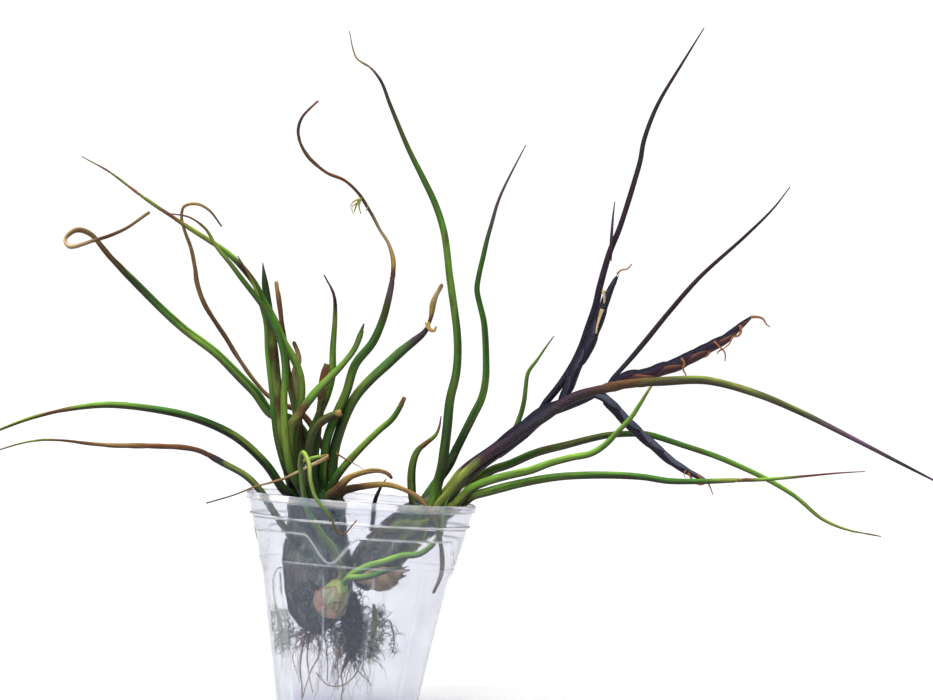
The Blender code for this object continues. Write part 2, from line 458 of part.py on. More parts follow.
def add_dry_sheath(collection, lean):
    """The torn flap, a flat outline with half its thickness to each side."""
    curve = bpy.data.curves.new("dry_sheath", "CURVE")
    curve.dimensions = "2D"
    curve.fill_mode = "BOTH"
    curve.extrude = DRY_SHEATH_THICKNESS / 2 * MM
    middle = Vector((9, 0, -32))
    spline = curve.splines.new("POLY")
    spline.points.add(len(DRY_SHEATH_OUTLINE) - 1)
    spline.use_cyclic_u = True
    for point, (across, up) in zip(spline.points, DRY_SHEATH_OUTLINE):
        point.co = ((across - middle.x) * MM, (up - middle.z) * MM, 0, 1)
    part = add_part("dry_sheath", curve, "dried", collection, lean)
    part.location = (middle.x * MM, DRY_SHEATH_DEPTH * MM, middle.z * MM)
    part.rotation_euler = (radians(90), 0, DRY_SHEATH_TURN)
    return part


def build():
    """The whole clump in its cup."""
    clear_scene()
    collection = bpy.data.collections.new("bulbosa_air_plant")
    bpy.context.scene.collection.children.link(collection)
    lean = bpy.data.objects.new("plants_at_rim_centre", None)
    collection.objects.link(lean)
    lean.location = (0, 0, CUP_HEIGHT * MM)
    lean.rotation_euler = (0, PLANT_LEAN, 0)

    add_cup(collection)
    add_turned("left_bulb", "bulb", LEFT_BULB, LEFT_NECK, collection, lean)
    add_turned("right_bulb", "bulb", RIGHT_BULB, RIGHT_NECK, collection, lean)
    add_turned("pup_bulb", "pale", PUP_BULB, PUP_NECK, collection, lean)
    add_turned("root_mass", "root", ROOT_MASS, ROOT_MASS_TOP, collection, lean)
    for leaf in LEFT_LEAVES:
        add_leaf(leaf, LEFT_NECK, collection, lean)
    for leaf in [SCAPE, *RIGHT_LEAVES]:
        add_leaf(leaf, RIGHT_NECK, collection, lean)
    for leaf in PUP_LEAVES:
        add_leaf(leaf, PUP_NECK, collection, lean)
    for leaf in OTHER_LEAVES + FLOWER_SPIKES:
        add_leaf(leaf, None, collection, lean)
    for root in ROOTS:
        add_leaf(root, None, collection, lean, CURL_SPACING)
    add_dry_sheath(collection, lean)


build()
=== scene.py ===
"""The looks of a clump of bulbosa air plants in a clear cup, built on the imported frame.

Lengths in the tables are millimetres. The plants are laid out as they are seen: a route is a list of
(across, up, depth) from the centre of the cup's rim, where depth runs away from the viewer. Between
the routes and the finished meshes, a place is a vector of (across, depth, up).
"""

from collections import namedtuple
from math import atan2, cos, exp, pi, radians, sin
from random import Random

import bmesh
import bpy
import numpy as np
from mathutils import Matrix, Vector, noise


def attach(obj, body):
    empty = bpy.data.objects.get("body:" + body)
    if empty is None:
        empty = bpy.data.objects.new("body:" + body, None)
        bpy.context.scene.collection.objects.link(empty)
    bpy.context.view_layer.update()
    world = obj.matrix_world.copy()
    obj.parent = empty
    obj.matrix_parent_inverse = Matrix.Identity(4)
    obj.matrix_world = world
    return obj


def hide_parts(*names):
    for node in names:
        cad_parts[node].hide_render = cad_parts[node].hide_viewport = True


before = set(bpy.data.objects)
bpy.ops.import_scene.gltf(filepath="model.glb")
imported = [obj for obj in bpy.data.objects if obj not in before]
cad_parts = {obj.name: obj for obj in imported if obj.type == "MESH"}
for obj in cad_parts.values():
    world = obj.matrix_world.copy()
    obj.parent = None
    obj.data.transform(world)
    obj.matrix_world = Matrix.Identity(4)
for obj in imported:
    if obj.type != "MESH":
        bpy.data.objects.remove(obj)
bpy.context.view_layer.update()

bl_info = {
    "name": "Bulbosa air plant in a clear cup",
    "version": (1, 0, 0),
    "blender": (4, 5, 0),
    "location": "View3D > Sidebar > Air Plant",
    "description": "Builds the leaves, bulbs, flower spikes, roots, cup and stage of the air plant",
    "category": "Add Mesh",
}

MM = 0.001
BODY = "root"

# How the plants lean in the cup, and how they are seen
CUP_HEIGHT = 86.0
PLANT_LEAN = radians(-4)
VIEW_DISTANCE = 1500.0
PICTURE_CENTRE = (42.0, 59.0)
LEANING = Matrix.Translation((0, 0, CUP_HEIGHT)) @ Matrix.Rotation(PLANT_LEAN, 4, "Y")
UPRIGHT = Matrix.Identity(4)

# How a leaf stands on its bulb
BASE_RISE = 3.0
BASE_SUNK = 8.0
STEPS_BETWEEN_POINTS = 12

# A neck is the top of a bulb: its middle as (across, depth, up), and the way it faces.
Neck = namedtuple("Neck", "middle facing")
LEFT_NECK = Neck(Vector((-18, 2, -2.5)), Vector((0, 0, 1)))
RIGHT_NECK = Neck(Vector((33, 5, -1)), Vector((1, -0.17, 1)).normalized())
PUP_NECK = Neck(Vector((-7.2, -17.1, -33.2)), Vector((0.52, -0.12, 0.85)).normalized())
ROOT_MASS_TOP = Neck(Vector((-4, 7, -38.6)), Vector((0, 0, 1)))

# A bulb's outline is (distance below its neck, half width). The first rows are the dome in the neck.
LEFT_BULB = [
    (-7, 0.5), (-6, 5), (-3.5, 9), (0, 11.6), (6.5, 11.2), (14, 11.4), (22, 12.9), (29, 13.2),
    (35, 12.8), (43, 9.8), (49, 5.6), (52.5, 1.0)]
RIGHT_BULB = [
    (-4, 0.5), (-3, 2.4), (0, 4.4), (4, 6.0), (8, 7.8), (14, 9.2), (23, 10.4), (31, 10.9),
    (38, 11.0), (44, 9.1), (48, 6.0), (50, 1.4)]
# How much flatter the right bulb is on its lower right side
RIGHT_SQUEEZE = 0.42
PUP_BULB = [
    (-1.5, 0.4), (-1, 1.6), (0, 2.7), (3, 4.3), (6, 5.5), (9.5, 5.8), (12.5, 4.7), (14.8, 2.0),
    (15.6, 0.3)]
ROOT_MASS = [(0, 1.5), (4, 3.2), (9, 4.2), (15, 4.6), (20, 3.8), (24, 2.4), (26, 0.8)]

# A leaf's half widths are evenly spaced from its base to its tip. Its seat is where it stands on its
# neck, as (sideways, depth) from the neck's middle, and None where its route starts inside its bulb or
# on its stem. Its tints are (share of the way along, tint). Spikes, roots and moss have none here.
Leaf = namedtuple("Leaf", "name slot half_widths seat route tints", defaults=(None,))

LEFT_LEAVES = [
    Leaf("left_arching_leaf", "green_leaf", (1.5, 1.7, 1.6, 1.3, 0.8, 0.3), (-9, -5.3), [
        (-31, 3, -6), (-38, 13, -7), (-50, 24, -8), (-66, 31.5, -9), (-84, 35.5, -10), (-104, 37, -11),
        (-128, 33, -12), (-145, 27, -13), (-158, 21, -14)],
        [(0, "deep"), (0.3, "deep"), (0.45, "green"), (0.65, "bright"), (0.75, "rust"),
         (0.82, "yellow"), (1, "bright")]),
    Leaf("left_golden_arching_leaf", "dried_leaf", (1.4, 1.5, 1.4, 1.1, 0.8, 0.4, 0.25), None, [
        (-25.5, -19, -12), (-29, -15, -14), (-35, -6, -14), (-40.5, 2.6, -13), (-46, 8.4, -13),
        (-55, 13.5, -13), (-66, 19, -13), (-80, 20.5, -14), (-102, 21, -15), (-128, 23, -16),
        (-145, 19, -17), (-158, 13, -18)],
        [(0, "olive"), (0.15, "deep"), (0.27, "deep"), (0.32, "indigo"), (0.36, "brown"),
         (0.46, "rust"), (0.6, "tan"), (0.74, "brown"), (0.82, "yellow"), (0.92, "rust"), (1, "mauve")]),
    Leaf("left_hooked_long_leaf", "green_leaf", (1.6, 2.0, 2.0, 1.8, 1.7, 1.5, 1.1, 0.8, 0.7), (2.2, 7.6), [
        (-17, 11, 13), (-21.5, 23, 15), (-28, 31, 16), (-36, 33.5, 17), (-42.5, 42, 18),
        (-48.5, 48, 19), (-58.5, 58, 21), (-70.5, 67, 23), (-80.5, 76, 25), (-90.5, 86, 27),
        (-98.5, 94, 28), (-103.5, 100, 29), (-108.5, 105.5, 28), (-114, 107, 26), (-118.5, 103.5, 23),
        (-117, 100.5, 20), (-106.5, 103, 17), (-95.5, 107, 16), (-85, 114, 17)],
        [(0, "deep"), (0.15, "green"), (0.3, "green"), (0.42, "bright"), (0.5, "green"),
         (0.6, "deep"), (0.68, "brown"), (0.76, "tan"), (0.82, "straw"), (0.9, "brown"), (1, "tan")]),
    Leaf("left_golden_curled_leaf", "dried_leaf", (1.3, 1.3, 1.2, 1.1, 1.0, 1.0, 0.8, 0.4), (6.6, 7.6), [
        (-14, 16, 14), (-20, 28.5, 17), (-25, 34, 19), (-36.5, 40, 21), (-43, 47, 22), (-50.5, 58, 24),
        (-57.5, 69, 25), (-62.5, 77, 26), (-65.5, 85, 26), (-66.5, 92, 25), (-68, 99, 24),
        (-70.5, 106, 22), (-72, 112, 19), (-71, 116.5, 16), (-66, 117.5, 13), (-61, 115, 11),
        (-56, 108.5, 10)],
        [(0, "olive"), (0.15, "brown"), (0.35, "tan"), (0.55, "brown"), (0.72, "tan"), (0.88, "gold"),
         (1, "brown")]),
    Leaf("left_long_leaf", "green_leaf", (1.6, 1.7, 1.6, 1.5, 1.35, 1.1, 0.9, 0.6, 0.2), (-5.8, -1), [
        (-26, 12, -2), (-27.5, 21, -3), (-26.2, 31, -3), (-24, 41, -3), (-24.6, 49, -3),
        (-27.4, 56, -3), (-31.2, 62.5, -3), (-34.8, 71, -3.5), (-39, 78.5, -3), (-43, 86, -2.5),
        (-49.5, 94, -2), (-54.5, 98.5, -2), (-64.5, 105, -3), (-74.5, 111.5, -4), (-88.5, 121, -6),
        (-100.5, 130, -8), (-112, 136.5, -10)],
        [(0, "deep"), (0.15, "green"), (0.35, "bright"), (0.5, "green"), (0.56, "plum"),
         (0.6, "bright"), (0.7, "yellow"), (0.76, "rust"), (0.82, "yellow"), (0.86, "copper"),
         (0.9, "yellow"), (0.94, "rust"), (1, "yellow")]),
    Leaf("left_front_leaf", "green_leaf", (1.4, 1.35, 1.4, 1.35, 1.2, 1.0, 0.7, 0.25), (-4.4, -9.5), [
        (-28, 10, -11), (-30.3, 22, -12.2), (-31, 38, -12.2), (-30.7, 54, -12.2), (-33.5, 66, -12.2),
        (-38, 74.5, -12), (-42, 80, -12.5), (-47.5, 87, -13), (-52, 93, -14), (-58.5, 101, -15),
        (-62, 107, -16), (-68.5, 112, -17), (-76, 113.5, -18)],
        [(0, "deep"), (0.2, "bright"), (0.5, "green"), (0.7, "green"), (0.85, "yellow"),
         (0.93, "rust"), (1, "mauve")]),
    Leaf("left_slender_leaf", "green_leaf", (1.0, 1.0, 1.0, 0.9, 0.7, 0.3), (-10.2, -1), [
        (-29.3, 7.5, -3), (-31.5, 14, -6), (-34.3, 25, -8.5), (-36.2, 44, -9), (-37.7, 58, -9),
        (-38.5, 70, -8.5), (-40.5, 77.5, -8), (-42.3, 83, -7.5), (-45, 89, -7.5), (-49.5, 96.5, -8)],
        [(0, "deep"), (0.3, "green"), (0.7, "bright"), (0.85, "yellow"), (0.95, "rust"), (1, "brown")]),
    Leaf("left_upright_leaf", "green_leaf",
         (1.4, 1.5, 1.6, 1.6, 1.6, 1.6, 1.6, 1.6, 1.65, 1.7, 1.4, 0.15), (-6.6, 7.6), [
        (-26.5, 10, 10), (-29.5, 25, 9.5), (-33, 42, 9), (-35, 60, 9), (-37, 74, 9), (-38.5, 85, 9),
        (-39.5, 94, 9)],
        [(0, "deep"), (0.7, "deep"), (0.93, "deep"), (1, "olive")]),
    Leaf("left_old_stalk", "olive_leaf", (1.6, 2.0, 2.2, 2.2, 2.1, 1.5), (-9, 3.3), [
        (-28.5, 7, 3.5), (-31, 18, 3), (-33.5, 32, 3), (-34.7, 46, 3), (-35.5, 59, 3), (-36, 70, 3),
        (-37.5, 76.5, 3)],
        [(0, "olive"), (0.2, "olive"), (0.38, "yellow"), (0.5, "brown"), (0.56, "yellow"),
         (0.7, "olive"), (0.76, "brown"), (0.82, "yellow"), (0.95, "olive"), (1, "tan")]),
    Leaf("left_orange_tipped_leaf", "olive_leaf", (1.1, 1.2, 1.3, 1.2, 1.0), (-4.5, 3.3), [
        (-24, 14, 4), (-26.4, 34, 2), (-28.8, 46, 1.5), (-30.3, 59, 1.5), (-31.5, 68, 1.5),
        (-33, 78, 2), (-34, 86, 2)],
        [(0, "deep"), (0.5, "olive"), (0.75, "brown"), (0.9, "rust"), (1, "gold")]),
    Leaf("left_dry_strip", "dried_leaf", (1.0, 1.1, 1.3, 1.6, 0.9), (-2.2, 7.6), [
        (-21.5, 14, 9), (-24.8, 30, 7), (-26.6, 42, 4), (-26.8, 49, 3), (-25.2, 54.5, 2.5),
        (-25.5, 58, 2.5), (-27, 62, 2.5)],
        [(0, "olive"), (0.4, "brown"), (0.6, "straw"), (0.9, "straw"), (1, "brown")]),
    Leaf("left_brown_stub", "dried_leaf", (1.4, 1.5, 1.5, 1.6, 1.6), (-1.4, -1), [
        (-19.2, 10, 0.5), (-17.6, 26, 1), (-16.2, 37, 1), (-15.6, 46, 1), (-13.8, 53.5, 1)],
        [(0, "deep"), (0.5, "deep"), (0.68, "olive"), (0.78, "brown"), (0.93, "rust"), (1, "tan")]),
    Leaf("left_dark_tipped_leaf", "green_leaf", (1.3, 1.5, 1.5, 1.4, 1.0, 0.3), (0, 3.3), [
        (-20, 12, 6), (-21, 22, 6.5), (-17.5, 32, 6.5), (-14, 40, 6.5), (-11.8, 48, 6.5),
        (-11.4, 60, 6.5), (-10.6, 72, 6), (-11, 81, 6), (-15, 89, 6)],
        [(0, "deep"), (0.25, "green"), (0.4, "bright"), (0.6, "bright"), (0.72, "bright"),
         (0.8, "yellow"), (0.86, "plum"), (1, "brown")]),
    Leaf("left_slanting_leaf", "olive_leaf", (1.4, 1.8, 1.9, 1.7, 1.2, 0.3), (-4.5, -5.3), [
        (-27, 10, -6.6), (-29, 20, -7.6), (-28.5, 28, -7.8), (-24.5, 34, -7.8), (-18.5, 42, -7.5),
        (-12.5, 48, -7.5), (-6.5, 54.5, -7.5), (-2.5, 60, -7.5), (1, 69.5, -7.5)],
        [(0, "deep"), (0.2, "olive"), (0.36, "yellow"), (0.48, "brown"), (0.54, "bright"),
         (0.75, "bright"), (0.94, "green"), (1, "brown")]),
    Leaf("left_tall_curled_leaf", "green_leaf",
         (1.5, 1.7, 1.9, 1.9, 1.8, 1.6, 1.15, 0.9, 0.85, 0.8, 0.75, 0.65, 0.5), (3, -1), [
        (-15, 11, 1), (-13.5, 24, 1), (-10, 33, 1), (-6, 42, 1), (-2.5, 53, 1), (4.5, 62, 2),
        (8.5, 71, 3), (10.7, 79, 3), (12.3, 87, 3), (12.8, 95, 2), (10.5, 102, 1), (7.5, 107, 0),
        (4, 113.5, -2), (-1.5, 122, -5), (-7, 127, -7), (-14, 130, -8), (-21, 136, -8),
        (-24.7, 142.5, -6), (-25.3, 147.5, -4), (-23.5, 152.5, -2), (-17.5, 158.5, 0)],
        [(0, "deep"), (0.15, "green"), (0.38, "green"), (0.44, "olive"), (0.49, "mauve"),
         (0.52, "brown"), (0.54, "gold"), (0.6, "straw"), (0.68, "brown"), (0.78, "rust"),
         (0.86, "brown"), (0.93, "plum"), (1, "rust")]),
    Leaf("left_curled_tip_leaf", "green_leaf",
         (1.5, 1.8, 1.9, 2.0, 2.0, 2.0, 2.0, 2.0, 1.95, 1.6, 0.75, 1.6, 1.0), (7.4, -1), [
        (-11.6, 10, 2), (-10.6, 20, 2.5), (-6.2, 33, 2.5), (-2.2, 40.5, 2.5), (4, 47.5, 3),
        (10, 53, 4), (16, 58.5, 5), (21, 62.5, 6), (25.5, 66.5, 7), (27.8, 72, 7), (29, 79, 6),
        (32, 85, 5)],
        [(0, "deep"), (0.3, "deep"), (0.5, "green"), (0.68, "green"), (0.75, "plum"),
         (0.81, "indigo"), (0.85, "brown"), (0.9, "gold"), (0.96, "straw"), (1, "tan")]),
    Leaf("left_cut_orange_leaf", "green_leaf", (1.3, 1.4, 1.4, 1.3, 1.1), (4.5, -5.3), [
        (-9.5, 9, -5), (-1.5, 18.5, -6), (6.5, 26.5, -7), (12.7, 32, -8), (17.3, 40, -9)],
        [(0, "deep"), (0.3, "green"), (0.6, "bright"), (0.92, "green"), (0.965, "rust"), (1, "copper")]),
    Leaf("left_hollow_stub", "olive_leaf", (1.6, 1.8, 1.8, 1.7, 1.6), (0, -5.3), [
        (-20, 10, -5), (-20.8, 20, -5.5), (-18.8, 27, -5), (-15, 31, -4.5), (-8, 34, -4)],
        [(0, "deep"), (0.35, "deep"), (0.7, "olive"), (0.93, "olive"), (0.975, "gold"), (1, "gold")]),
    Leaf("left_brown_curl", "dried_leaf", (1.3, 1.35, 1.3, 1.1, 0.8), (4.4, -9.5), [
        (-9.5, 3.5, -9), (-5, 8, -11), (1, 10.2, -13), (6.5, 10.6, -14), (10.5, 9.5, -15),
        (12, 7.8, -15)],
        [(0, "olive"), (0.2, "brown"), (0.45, "gold"), (0.8, "tan"), (1, "rust")]),
    Leaf("left_drooping_leaf", "dried_leaf", (1.2, 1.3, 1.3, 1.25, 1.1, 0.9, 0.6), (9, -5.3), [
        (-6, 3.2, -5), (-1, 4.2, -8), (7, 5.2, -12), (12, 4.8, -14), (17, 3.2, -15), (24, -1.2, -16.5),
        (28.3, -7.5, -17), (31, -15.5, -17), (32, -24, -15.5), (31.5, -31, -14), (28.5, -38, -13.5)],
        [(0, "olive"), (0.12, "brown"), (0.3, "gold"), (0.5, "tan"), (0.62, "olive"),
         (0.85, "brown"), (1, "brown")]),
    Leaf("left_dry_strand", "dried_leaf", (1.0, 1.1, 0.9, 0.6, 0.5, 0.42, 0.35), (0, -9.5), [
        (-21.5, 7, -13), (-24.5, 13, -15), (-20, 15.3, -16), (-16.5, 16.2, -17), (-13, 16.5, -18.3),
        (-16, 14.8, -19.8), (-23.5, 11.2, -20), (-30, 8, -20), (-37, 5.8, -20), (-42.5, 4.4, -20),
        (-51, 1, -20), (-62, -2.2, -20)],
        [(0, "olive"), (0.2, "olive"), (0.3, "bright"), (0.335, "tan"), (0.45, "straw"),
         (0.7, "tan"), (1, "brown")]),
]

RIGHT_LEAVES = [
    Leaf("right_short_leaf", "green_leaf", (1.5, 1.7, 1.7, 1.4, 0.9, 0.25), None, [
        (24.5, -10, 5), (21, -3, 4), (20, 5, 4), (20.4, 13, 4), (22.3, 18.5, 4), (25.8, 21.8, 4),
        (29.7, 25, 4), (31.2, 28.5, 4), (31.8, 32.5, 4)],
        [(0, "deep"), (0.35, "deep"), (0.6, "green"), (0.75, "rust"), (0.82, "bright"),
         (0.9, "rust"), (1, "mauve")]),
    Leaf("right_tallest_leaf", "green_leaf", (2.3, 2.1, 1.9, 1.7, 1.6, 1.5, 1.3, 0.9, 0.6, 0.2), None, [
        (25.5, -11, 4), (28.5, -3, 1), (30.3, 5, -1), (32.2, 12, -3), (33.3, 20, -4),
        (34.3, 28, -5), (35.4, 39, -6), (37.8, 49, -7), (38.6, 59, -8), (38.2, 67, -9),
        (37, 76.5, -10), (35.4, 88.5, -11), (33, 106.5, -12),
        (29.5, 117.5, -12), (24.5, 128, -12), (19, 139, -11), (11.5, 157, -9), (7.8, 166.5, -7),
        (3.5, 172, -6), (-1.8, 175.5, -5), (-3.6, 180, -4), (-4.8, 186.5, -3)],
        [(0, "bright"), (0.05, "bright"), (0.12, "deep"), (0.3, "green"), (0.5, "bright"),
         (0.68, "green"), (0.78, "olive"), (0.88, "plum"), (0.94, "tan"), (1, "brown")]),
    Leaf("right_inner_tall_leaf", "green_leaf", (2.0, 1.9, 1.7, 1.4, 1.2, 1.0, 0.6, 0.2), None, [
        (21, -7, 6), (26.5, 1, 8), (31.5, 8, 10), (35, 13, 11), (37.6, 18.6, 12),
        (40.8, 25, 12), (44.6, 32.6, 13), (48.2, 40, 14), (49.6, 47, 15), (49.8, 55, 16),
        (49, 70, 17), (47.4, 77, 18), (46.2, 83, 18), (47, 89, 18),
        (48.6, 96, 18), (50.2, 103, 18), (52.2, 110, 17), (54.2, 117, 16), (56.6, 123, 15),
        (62.6, 135, 13), (65.8, 141, 12)],
        [(0, "green"), (0.15, "deep"), (0.4, "green"), (0.7, "green"), (0.85, "mauve"), (1, "indigo")]),
    Leaf("right_back_leaf", "green_leaf", (1.1, 1.2, 1.2, 1.1, 0.8, 0.2), (0.4, 6.4), [
        (44, 8, 15), (54, 18, 18), (60, 25, 19), (63.4, 32.6, 20), (65, 39, 20), (65.6, 44, 20),
        (66.6, 50, 19), (70.2, 55, 18), (74.6, 61.4, 17), (77, 64.6, 16)],
        [(0, "deep"), (0.5, "green"), (0.85, "bright"), (1, "olive")]),
    Leaf("right_longest_leaf", "olive_leaf", (1.5, 1.9, 2.1, 2.0, 1.7, 1.4, 1.1, 0.7, 0.2), (-0.2, -6.3), [
        (41, 9, -5), (51, 17.5, -6), (60, 23, -7), (65, 27, -8), (73, 32, -8.5), (83.6, 39.4, -9),
        (91.6, 42.2, -9.5), (102.4, 44.9, -10), (111.4, 45.8, -11), (135.4, 47, -14),
        (143.4, 45.8, -15), (159.4, 41, -18), (175.4, 34.2, -21), (195.4, 24.2, -25),
        (215.4, 13.8, -29), (229, 6.8, -32), (240, 1, -34)],
        [(0, "yellow"), (0.05, "yellow"), (0.1, "plum"), (0.2, "indigo"), (0.3, "plum"),
         (0.37, "brown"), (0.45, "olive"), (0.68, "olive"), (0.8, "mauve"), (0.9, "indigo"),
         (1, "mauve")]),
    Leaf("right_low_curving_leaf", "green_leaf", (1.4, 1.7, 1.6, 1.4, 1.3, 1.2, 1.0, 0.7, 0.25), (4.6, 4.4), [
        (45.5, 6, 10), (51.5, 10.6, 11), (59.4, 13.4, 12), (70.2, 18, 13), (81, 20.7, 13),
        (91.6, 23.4, 13), (99.8, 25, 13), (111.4, 25.4, 13), (115, 25, 13), (128, 21, 12),
        (141.2, 16.6, 11), (154, 11.2, 10), (164.6, 6, 9), (173.8, 0.2, 8), (184, -8.4, 7),
        (193.4, -12.6, 6), (207.8, -15.6, 5)],
        [(0, "yellow"), (0.12, "green"), (0.3, "olive"), (0.5, "green"), (0.75, "bright"),
         (0.9, "yellow"), (1, "brown")]),
    Leaf("right_light_green_leaf", "green_leaf", (1.4, 1.6, 1.6, 1.4, 1.2, 0.9, 0.3), (4.3, -4.8), [
        (43.5, 3.4, -2), (51.4, 6.8, -3), (59.4, 9, -3.5), (67.6, 10.9, -4), (75.6, 13.8, -4.5),
        (83.6, 15.9, -5), (91.6, 17.5, -5.5), (97, 20.7, -5.5), (102.4, 26.2, -5), (107.8, 32, -4),
        (111.4, 37.4, -3), (115.4, 43.8, -1), (119, 49.2, 0)],
        [(0, "yellow"), (0.1, "bright"), (0.5, "bright"), (0.85, "bright"), (0.93, "yellow"),
         (0.98, "mauve"), (1, "mauve")]),
    Leaf("right_lowest_leaf", "green_leaf", (1.4, 1.7, 1.6, 1.5, 1.3, 1.1, 0.8, 0.5, 0.2), (6.3, -0.2), [
        (44.5, 0.6, 0), (49.4, 2, -0.5), (62.6, 5.4, -1), (78.2, 8.2, -2), (96.6, 9, -3),
        (112.4, 8.2, -4), (122.8, 6.6, -4.5), (134.6, 6.4, -5), (147.8, 6.8, -5), (162.2, 7.2, -5),
        (177.8, 8.6, -4), (191, 9.8, -3), (201.4, 10.4, -2)],
        [(0, "yellow"), (0.1, "bright"), (0.3, "green"), (0.6, "green"), (0.68, "yellow"),
         (0.71, "rust"), (0.75, "bright"), (0.88, "wine"), (1, "wine")]),
]

OTHER_LEAVES = [
    Leaf("right_shoulder_spike", "purple_leaf", (0.9, 1.0, 0.9, 0.7, 0.2), None, [
        (3.8, -13.3, 8), (4.6, -9, 8), (5, -3.4, 7.5), (5.8, 0, 7), (8, 4.6, 6.5), (9.8, 7.4, 6)],
        [(0, "olive"), (0.4, "indigo"), (1, "deep")]),
    Leaf("tall_bract_leaf", "purple_leaf", (1.4, 1.6, 1.5, 1.4, 1.2, 1.1, 0.9, 0.6, 0.2), None, [
        (70.5, 35, 6), (73.8, 38.2, 6.5), (80, 45.8, 7), (85, 53.6, 8), (88, 60, 8), (90.4, 67, 8),
        (93.6, 76.2, 8), (95.4, 84.2, 8), (99.4, 98.2, 9), (103.2, 107.4, 10), (109.4, 127, 12),
        (111.6, 135, 13), (112.8, 142, 13), (116.6, 153, 14), (120.2, 160.4, 14), (128.6, 174.2, 15),
        (137, 187.8, 16)],
        [(0, "indigo"), (0.2, "indigo"), (0.5, "plum"), (0.75, "char"), (0.88, "plum"), (1, "indigo")]),
    Leaf("bract_side_tip", "purple_leaf", (0.7, 0.7, 0.5, 0.2), None, [
        (99.9, 94.5, 6.8), (99.9, 101, 6.6), (100.1, 105.6, 6.4), (100.6, 112.3, 6.2),
        (101.3, 118.4, 6)],
        [(0, "plum"), (1, "mauve")]),
    Leaf("slanting_bract_leaf", "purple_leaf", (0.9, 1.1, 1.0, 0.8, 0.6, 0.2), None, [
        (97.6, 44.6, 2.8), (102.1, 49.4, 4), (107.4, 55.2, 5.5), (112.8, 61.6, 6), (123.4, 74.6, 7),
        (135.4, 88.2, 8), (154, 105, 9), (164.9, 115.8, 10), (171.4, 124.2, 10)],
        [(0, "indigo"), (0.4, "plum"), (1, "plum")]),
]

PUP_LEAVES = [
    Leaf("pup_inner_leaf", "green_leaf", (1.2, 1.3, 1.3, 1.2, 1.1, 0.9, 0.3), (0.8, 1.4), [
        (-3.4, -30.6, -16), (2.6, -27.6, -16), (9.4, -25.6, -15.5), (16.2, -23.4, -14.5),
        (23, -22.6, -14), (28.6, -18.6, -12.5), (31.8, -13.8, -11), (33, -7.8, -9.5), (34.2, -1.4, -8),
        (36.6, 2.2, -7)],
        [(0, "bright"), (0.3, "bright"), (0.7, "green"), (1, "deep")]),
    Leaf("pup_hooked_leaf", "pale_leaf", (1.2, 1.3, 1.2, 1.1, 1.0, 0.9, 0.7, 0.5, 0.3), (-1.6, 0), [
        (-9.4, -26, -19), (-11.4, -20.8, -21), (-15.4, -15.4, -24), (-19, -9.8, -26),
        (-20.4, -7.8, -26.5), (-22.6, -1, -27), (-23.8, 7, -28), (-24.4, 14, -31), (-23.4, 18, -35.5),
        (-21, 13.5, -41), (-20.4, 7, -44.5), (-18.4, 0.2, -46), (-14.6, -5, -46), (-11.8, -9, -46),
        (-9.8, -13.8, -45.8), (-7.4, -14.8, -46), (-2, -9.2, -47.5)],
        [(0, "pale"), (0.15, "bright"), (0.35, "green"), (0.5, "bright"), (0.62, "yellow"),
         (0.75, "bright"), (0.9, "brown"), (1, "rust")]),
    Leaf("pup_short_leaf", "green_leaf", (1.1, 1.1, 0.9, 0.3), (0.8, -1.4), [
        (-4, -32, -20), (2.6, -31.6, -19.5), (9.4, -29.4, -17.5), (16.2, -27.8, -16.5)],
        [(0, "bright"), (0.5, "green"), (1, "olive")]),
]

FLOWER_SPIKES = [
    Leaf("upright_flower_spike", "purple_leaf", (1.6, 1.9, 2.1, 2.1, 1.9, 1.4, 0.5), None, [
        (79.5, 36, 4), (80.8, 39.9, 4), (83.6, 45.8, 3), (86, 53, 2), (88.6, 56.2, 2), (93.4, 67, 2),
        (96.6, 75.8, 2), (99.4, 83, 2.4), (102.2, 88.2, 2.8)]),
    Leaf("right_flower_spike", "purple_leaf", (1.7, 2.1, 2.4, 2.4, 2.1, 1.5, 0.4), None, [
        (98.9, 43.4, 1), (105.4, 48, 0), (112.8, 49, -1), (120.8, 51.4, -2), (129, 54.6, -3),
        (137, 59, -4), (145, 63.2, -5), (150.2, 67.4, -5.5), (155.8, 72.2, -6)]),
    Leaf("drooping_flower_spike", "purple_leaf", (1.8, 1.9, 1.9, 1.8, 1.6, 1.2, 0.5), None, [
        (92, 42, 2), (96.4, 40, 2.4), (102, 34.8, 3.6), (107.4, 29, 4.5), (112.8, 24.2, 5), (118.2, 19.4, 5),
        (123.4, 15, 5), (129, 11.2, 5), (134.2, 8.6, 4.5), (138, 6.4, 4)]),
]

